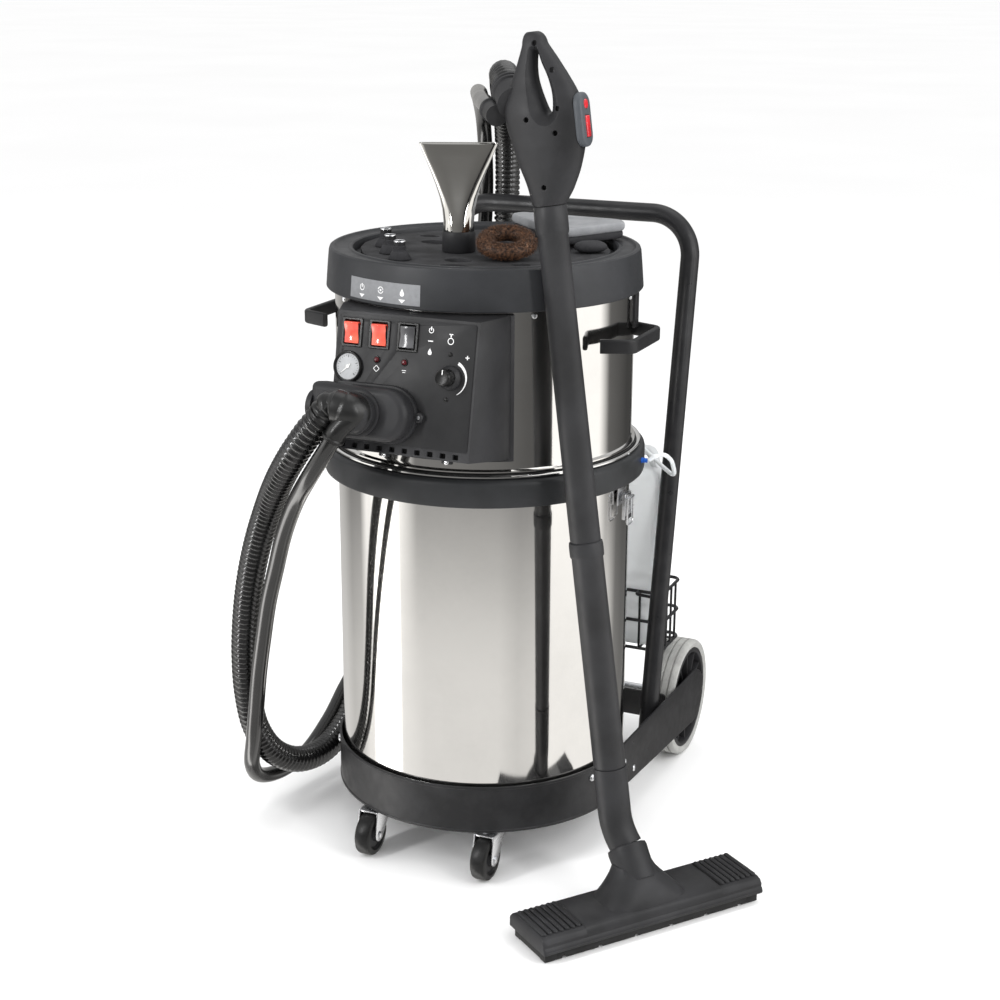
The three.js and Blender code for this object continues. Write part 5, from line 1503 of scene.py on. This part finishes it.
# ---- Accessories on the lid ----------------------------------------------------------------------
SEAT = 820.3
NOZZLE = Matrix.Translation((-20, -40, SEAT)) @ Matrix.Rotation(0.42, 4, "Z")
fan_shape = ((20.4, 20.4, 27, 2), (20.6, 20.4, 30, 2), (20, 19.4, 40, 2), (21.4, 17.6, 55, 2.1),
             (24.6, 15.2, 70, 2.5), (30.4, 12.8, 88, 3), (36.6, 11, 105, 3.8), (43.6, 9.4, 122, 5),
             (50.4, 8, 138, 7), (51, 8, 139.4, 8), (50.6, 7.6, 140, 8))
fan_rows = [oval(a, b, z, 0, 0, power, 96) for a, b, z, power in fan_shape]
fan_rows += [oval(a, b, z, 0, 0, power, 96) for a, b, z, power in
             ((48.6, 5.8, 140, 8), (48, 5.4, 138, 8), (40, 5.6, 120, 6), (30, 6, 96, 4))]
nozzle = make("fan_chrome", loft(fan_rows).moved(NOZZLE), CHROME, "nozzle", angle=45)
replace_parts(nozzle, "fan_nozzle")
sleeve = lathe([(0, 0.2), (21.4, 0.2), (22, 1), (21.8, 20), (21.4, 25.4), (20.8, 26.8),
                (0, 27)], 72)
make("fan_sleeve", sleeve.moved(NOZZLE), SHELL_BLACK, "nozzle", angle=40)

brush_rows = []
for k in range(25):
    a = 2 * math.pi * k / 24
    brush_rows.append((28 + 9.4 * math.cos(a), 12.6 + 9.8 * math.sin(a)))
BRUSH_X, BRUSH_Y = 58, -62
BRUSH = (Matrix.Translation((BRUSH_X, BRUSH_Y, SEAT + 9))
         @ Matrix.Rotation(math.radians(24.3), 4, "Z")
         @ Matrix.Rotation(math.radians(17), 4, "X") @ Matrix.Translation((0, 0, -2)))
core = lathe(brush_rows, 72).moved(BRUSH)
brush = make("brush_core", core, BRISTLE, "brush")
brush_foot = lathe([(0, -4), (15, -4), (15, 2), (19.4, 6), (19.4, 12), (0, 12)], 48)
make("brush_foot", brush_foot.at(BRUSH_X, BRUSH_Y, SEAT + 4.4), PAD_DARK, "brush", angle=40)
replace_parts(brush, "round_brush")
hairs_points, hairs_faces = [], []
for k in range(5200):
    a = random.uniform(0, 2 * math.pi)
    b = random.uniform(-0.75, math.pi + 0.5)
    base = Vector(((28 + 9 * math.cos(b)) * math.cos(a), (28 + 9 * math.cos(b)) * math.sin(a),
                   12.6 + 9.4 * math.sin(b)))
    out = Vector((math.cos(b) * math.cos(a), math.cos(b) * math.sin(a), math.sin(b)))
    lean = Vector((random.gauss(0, 0.35), random.gauss(0, 0.35), random.gauss(0, 0.35)))
    tip = base + (out + lean).normalized() * random.uniform(2.6, 5.4)
    tip.z = max(tip.z, 0.5)
    radial = Vector((tip.x, tip.y, 0))
    if radial.length > 40.8:
        tip = Vector((radial.x * 40.8 / radial.length, radial.y * 40.8 / radial.length, tip.z))
    side = (tip - base).orthogonal().normalized() * 0.34
    other = (tip - base).normalized().cross(side)
    index = len(hairs_points)
    for q in range(3):
        t = 2 * math.pi * q / 3
        hairs_points.append(base + side * math.cos(t) + other * math.sin(t))
    hairs_points.append(tip)
    hairs_faces += [(index, index + 1, index + 3), (index + 1, index + 2, index + 3),
                    (index + 2, index, index + 3), (index, index + 2, index + 1)]
hairs = Shape(hairs_points, hairs_faces).moved(BRUSH)
make("brush_hairs", hairs, BRISTLE, "brush", angle=180)

JETS = ((-125, -44), (-94, -92), (-60, -132))
jet_profile = [(0, 0.3), (14.6, 0.3), (14.8, 1.6), (10.4, 9.6), (9, 11), (9, 12), (8.4, 12.4),
               (8.4, 16.8), (7.4, 17.6), (0, 17.6)]
jet_tops = Shape()
jet_crowns = Shape()
jet_bases = Shape()
for x, y in JETS:
    jet_bases = jet_bases + lathe(jet_profile, 48).at(x, y, SEAT)
    jet_top = lathe([(6.2, 22.4), (7.5, 22.4), (7.5, 23.4), (7, 24), (6.2, 23.6), (6.2, 22.4)], 48)
    jet_tops = jet_tops + jet_top.at(x, y, SEAT)
    crown = lathe([(0, 17.6), (7.3, 17.6), (7.3, 22.8), (6, 23), (4.6, 22.6), (4.2, 19),
                   (0, 19)], 48)
    jet_crowns = jet_crowns + crown.at(x, y, SEAT)
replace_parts(make("jet_bases", jet_bases, PAD_DARK, "jets", angle=40), "jet_set")
make("jet_crowns", jet_crowns, SHELL_BLACK, "jets", angle=40)
make("jet_tops", jet_tops, ZINC, "jets", angle=40)

PAD_OUTLINE = [(-92, 42), (-86, 62), (70, 52), (84, 30), (40, -62), (16, -68)]


def soft_outline(outline, radius, steps=8):
    """The outline with its corners rounded."""
    n = len(outline)
    result = []
    for i in range(n):
        p0, p1, p2 = (Vector(outline[(i + k) % n]) for k in (-1, 0, 1))
        back, ahead = (p0 - p1), (p2 - p1)
        reach = min(radius, back.length * 0.45, ahead.length * 0.45)
        a, b = p1 + back.normalized() * reach, p1 + ahead.normalized() * reach
        for k in range(steps + 1):
            t = k / steps
            q = a * (1 - t) ** 2 + p1 * 2 * t * (1 - t) + b * t * t
            result.append((q.x, q.y))
    return result


def pillow(outline, depth, base, edge, sag=0.0):
    """A padded plate with a full, round edge."""
    middle = Vector((sum(p[0] for p in outline), sum(p[1] for p in outline))) / len(outline)
    reach = max((Vector(p) - middle).length for p in outline)
    rows = []
    for k in range(9):
        a = math.pi * k / 8
        shrink = edge * (1 - math.sin(a))
        z = base + depth * (0.5 - 0.5 * math.cos(a))
        rows.append([(middle.x + (p[0] - middle.x) * (1 - shrink / reach),
                      middle.y + (p[1] - middle.y) * (1 - shrink / reach), z) for p in outline])
    for k in range(1, 5):
        f = 1 - k / 5
        rows.append([(middle.x + (p[0] - middle.x) * f * (1 - edge / reach),
                      middle.y + (p[1] - middle.y) * f * (1 - edge / reach),
                      base + depth + sag * (1 - f * f)) for p in outline])
    return loft(rows)


pad_line = soft_outline(PAD_OUTLINE, 16)
PAD_AT = (70, 92, 0)
upper_pad = pillow(pad_line, 12, 836.2, 5, -1.5).at(*PAD_AT)
pad_piece = make("pad_upper", upper_pad, PAD_GREY, "pad", angle=70)
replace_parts(pad_piece, "window_pad")
lower_line = [(x * 0.965 + 1, y * 0.965 - 1) for x, y in pad_line]
lower_shape = pillow(lower_line, 10.4, 826.4, 4).at(*PAD_AT)
lower_pad = make("pad_lower", lower_shape, PAD_DARK, "pad", angle=70)

sponge_rows = []
for k in range(9):
    a = math.pi * k / 8
    f = math.sin(a) ** 0.55 if 0 < k < 8 else 0.5
    sponge_rows.append(oval(22 * f, 14 * f, SEAT + 0.3 + 7.5 * (1 - math.cos(a)), 0, 0, 2.6, 40))
sponge = loft(sponge_rows)
sponge = Shape([Vector((p.x + random.uniform(-0.5, 0.5), p.y + random.uniform(-0.5, 0.5), p.z))
                for p in sponge.points], sponge.faces)
sponge_piece = make("sponge", sponge.turned(35, "Z").at(141, 22, 0), PAD_DARK, "head", angle=80,
                    smooth=1)

# ---- Pieces shown as the CAD made them -----------------------------------------------------------
CASTING = polished_steel("cast_aluminium", 0.35, 0.5, 1, (0.62, 0.62, 0.63))
CARRIED = {
    "boiler": CASTING, "suction_motor": SHELL_BLACK, "water_pump": BRASS, "float_cage": SHELL_BLACK,
    "base_plate": BAND_PAINT, "rear_axle": ZINC,
}
for name, material in CARRIED.items():
    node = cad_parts[name]
    node.data.materials.clear()
    node.data.materials.append(material)

# ---- Floor and light -----------------------------------------------------------------------------
FLOOR_SIZE = 60000
floor_paint = Nodes("pale_floor")
floor_paint.to("Base Color", floor_paint.blend(floor_paint.noise(0.6, 2), (0.94, 0.94, 0.94),
                                               (0.96, 0.96, 0.96)))
floor_paint.to("Roughness", 0.95)
floor_paint.to("Specular IOR Level", 0.1)
floor_mesh = bpy.data.meshes.new("floor")
floor_mesh.from_pydata([place(x * FLOOR_SIZE, y * FLOOR_SIZE, -0.3)
                        for x, y in ((-1, -1), (1, -1), (1, 1), (-1, 1))], [], [(0, 1, 2, 3)])
floor_mesh.materials.append(floor_paint.material)
floor = bpy.data.objects.new("floor", floor_mesh)
scene.collection.objects.link(floor)
floor.visible_glossy = False

# The studio that the polished steel mirrors: brightness by compass direction, in degrees from the
# front (-Y) towards the right, once for the white floor and once for the darker walls above it.
FLOOR_TONES = ((-180, 0.45), (-150, 0.60), (-122, 0.72), (-106, 0.62), (-90, 0.72), (-82, 0.98),
               (-75, 1.00), (-71, 4.50), (-49, 4.50), (-45, 1.00), (-24, 0.84), (36, 0.84),
               (51, 0.72), (68, 0.80), (76, 1.06), (138, 1.02), (152, 0.25), (166, 0.18))
WALL_TONES = ((-180, 0.30), (-135, 0.50), (-122, 0.40), (-106, 0.14), (-90, 0.16), (-82, 1.20),
              (-44, 1.20), (-30, 0.22), (0, 0.20), (36, 0.15), (58, 0.10), (70, 0.12),
              (75, 1.25), (122, 1.25), (134, 0.14), (166, 0.06))

world = bpy.data.worlds.new("studio")
world.use_nodes = True
sky = world.node_tree


def sky_node(kind, **settings):
    node = sky.nodes.new(kind)
    for key, value in settings.items():
        setattr(node, key, value)
    return node


def tone_ramp(tones, tint):
    ramp = sky_node("ShaderNodeValToRGB")
    elements = ramp.color_ramp.elements
    while len(elements) < len(tones):
        elements.new(0.5)
    for element, (degrees, tone) in zip(elements, tones):
        element.position = (degrees + 180) / 360
        element.color = (*(c * tone for c in tint), 1)
    sky.links.new(compass.outputs["Result"], ramp.inputs["Fac"])
    return ramp.outputs["Color"]


def sky_mix(factor, first, second):
    mix = sky_node("ShaderNodeMix", data_type="RGBA")
    sky.links.new(factor, mix.inputs["Factor"])
    for socket, value in zip((mix.inputs[6], mix.inputs[7]), (first, second)):
        if isinstance(value, tuple):
            socket.default_value = value
        else:
            sky.links.new(value, socket)
    return mix.outputs[2]


def height_range(low, high):
    node = sky_node("ShaderNodeMapRange", interpolation_type="SMOOTHSTEP")
    node.inputs["From Min"].default_value = low
    node.inputs["From Max"].default_value = high
    sky.links.new(direction.outputs["Z"], node.inputs["Value"])
    return node.outputs["Result"]


direction = sky_node("ShaderNodeSeparateXYZ")
sky.links.new(sky_node("ShaderNodeTexCoord").outputs["Generated"], direction.inputs["Vector"])
front = sky_node("ShaderNodeMath", operation="MULTIPLY")
front.inputs[1].default_value = -1
sky.links.new(direction.outputs["Y"], front.inputs[0])
bearing = sky_node("ShaderNodeMath", operation="ARCTAN2")
sky.links.new(direction.outputs["X"], bearing.inputs[0])
sky.links.new(front.outputs[0], bearing.inputs[1])
compass = sky_node("ShaderNodeMapRange")
compass.inputs["From Min"].default_value = -math.pi
compass.inputs["From Max"].default_value = math.pi
sky.links.new(bearing.outputs[0], compass.inputs["Value"])
WARM = (1.0, 0.982, 0.955)
around = sky_mix(height_range(-0.42, -0.22), tone_ramp(FLOOR_TONES, WARM),
                 tone_ramp(WALL_TONES, WARM))
mirrored = sky_mix(height_range(0.02, 0.45), around, (0.6, 0.6, 0.6, 1))
rays = sky_node("ShaderNodeLightPath")
backdrop = sky.nodes["Background"]
sky.links.new(sky_mix(rays.outputs["Is Glossy Ray"], (1, 1, 1, 1), mirrored),
              backdrop.inputs["Color"])
backdrop.inputs["Strength"].default_value = 1.05
scene.world = world


def softbox(name, position, target, width, height, power):
    data = bpy.data.lights.new(name, "AREA")
    data.shape = "RECTANGLE"
    data.size = width
    data.size_y = height
    data.energy = power
    lamp = bpy.data.objects.new(name, data)
    scene.collection.objects.link(lamp)
    start, end = place(*position), place(*target)
    aim = (end - start).to_track_quat("-Z", "Y")
    lamp.matrix_world = Matrix.Translation(start) @ aim.to_matrix().to_4x4()
    return lamp


softbox("key_right", (2300, 100, 1700), (0, 0, 500), 1.2, 2.0, 22)
softbox("strip_right", (1900, -900, 1500), (0, 0, 600), 0.2, 1.6, 12)
softbox("fill_left", (-2000, -1300, 1500), (0, 0, 500), 1.0, 1.8, 5)
softbox("strip_left", (-1100, -2000, 1500), (-150, -200, 500), 0.16, 1.6, 26)
softbox("top", (300, 600, 3000), (0, 0, 600), 2.0, 2.0, 18)

scene.view_settings.view_transform = "Standard"
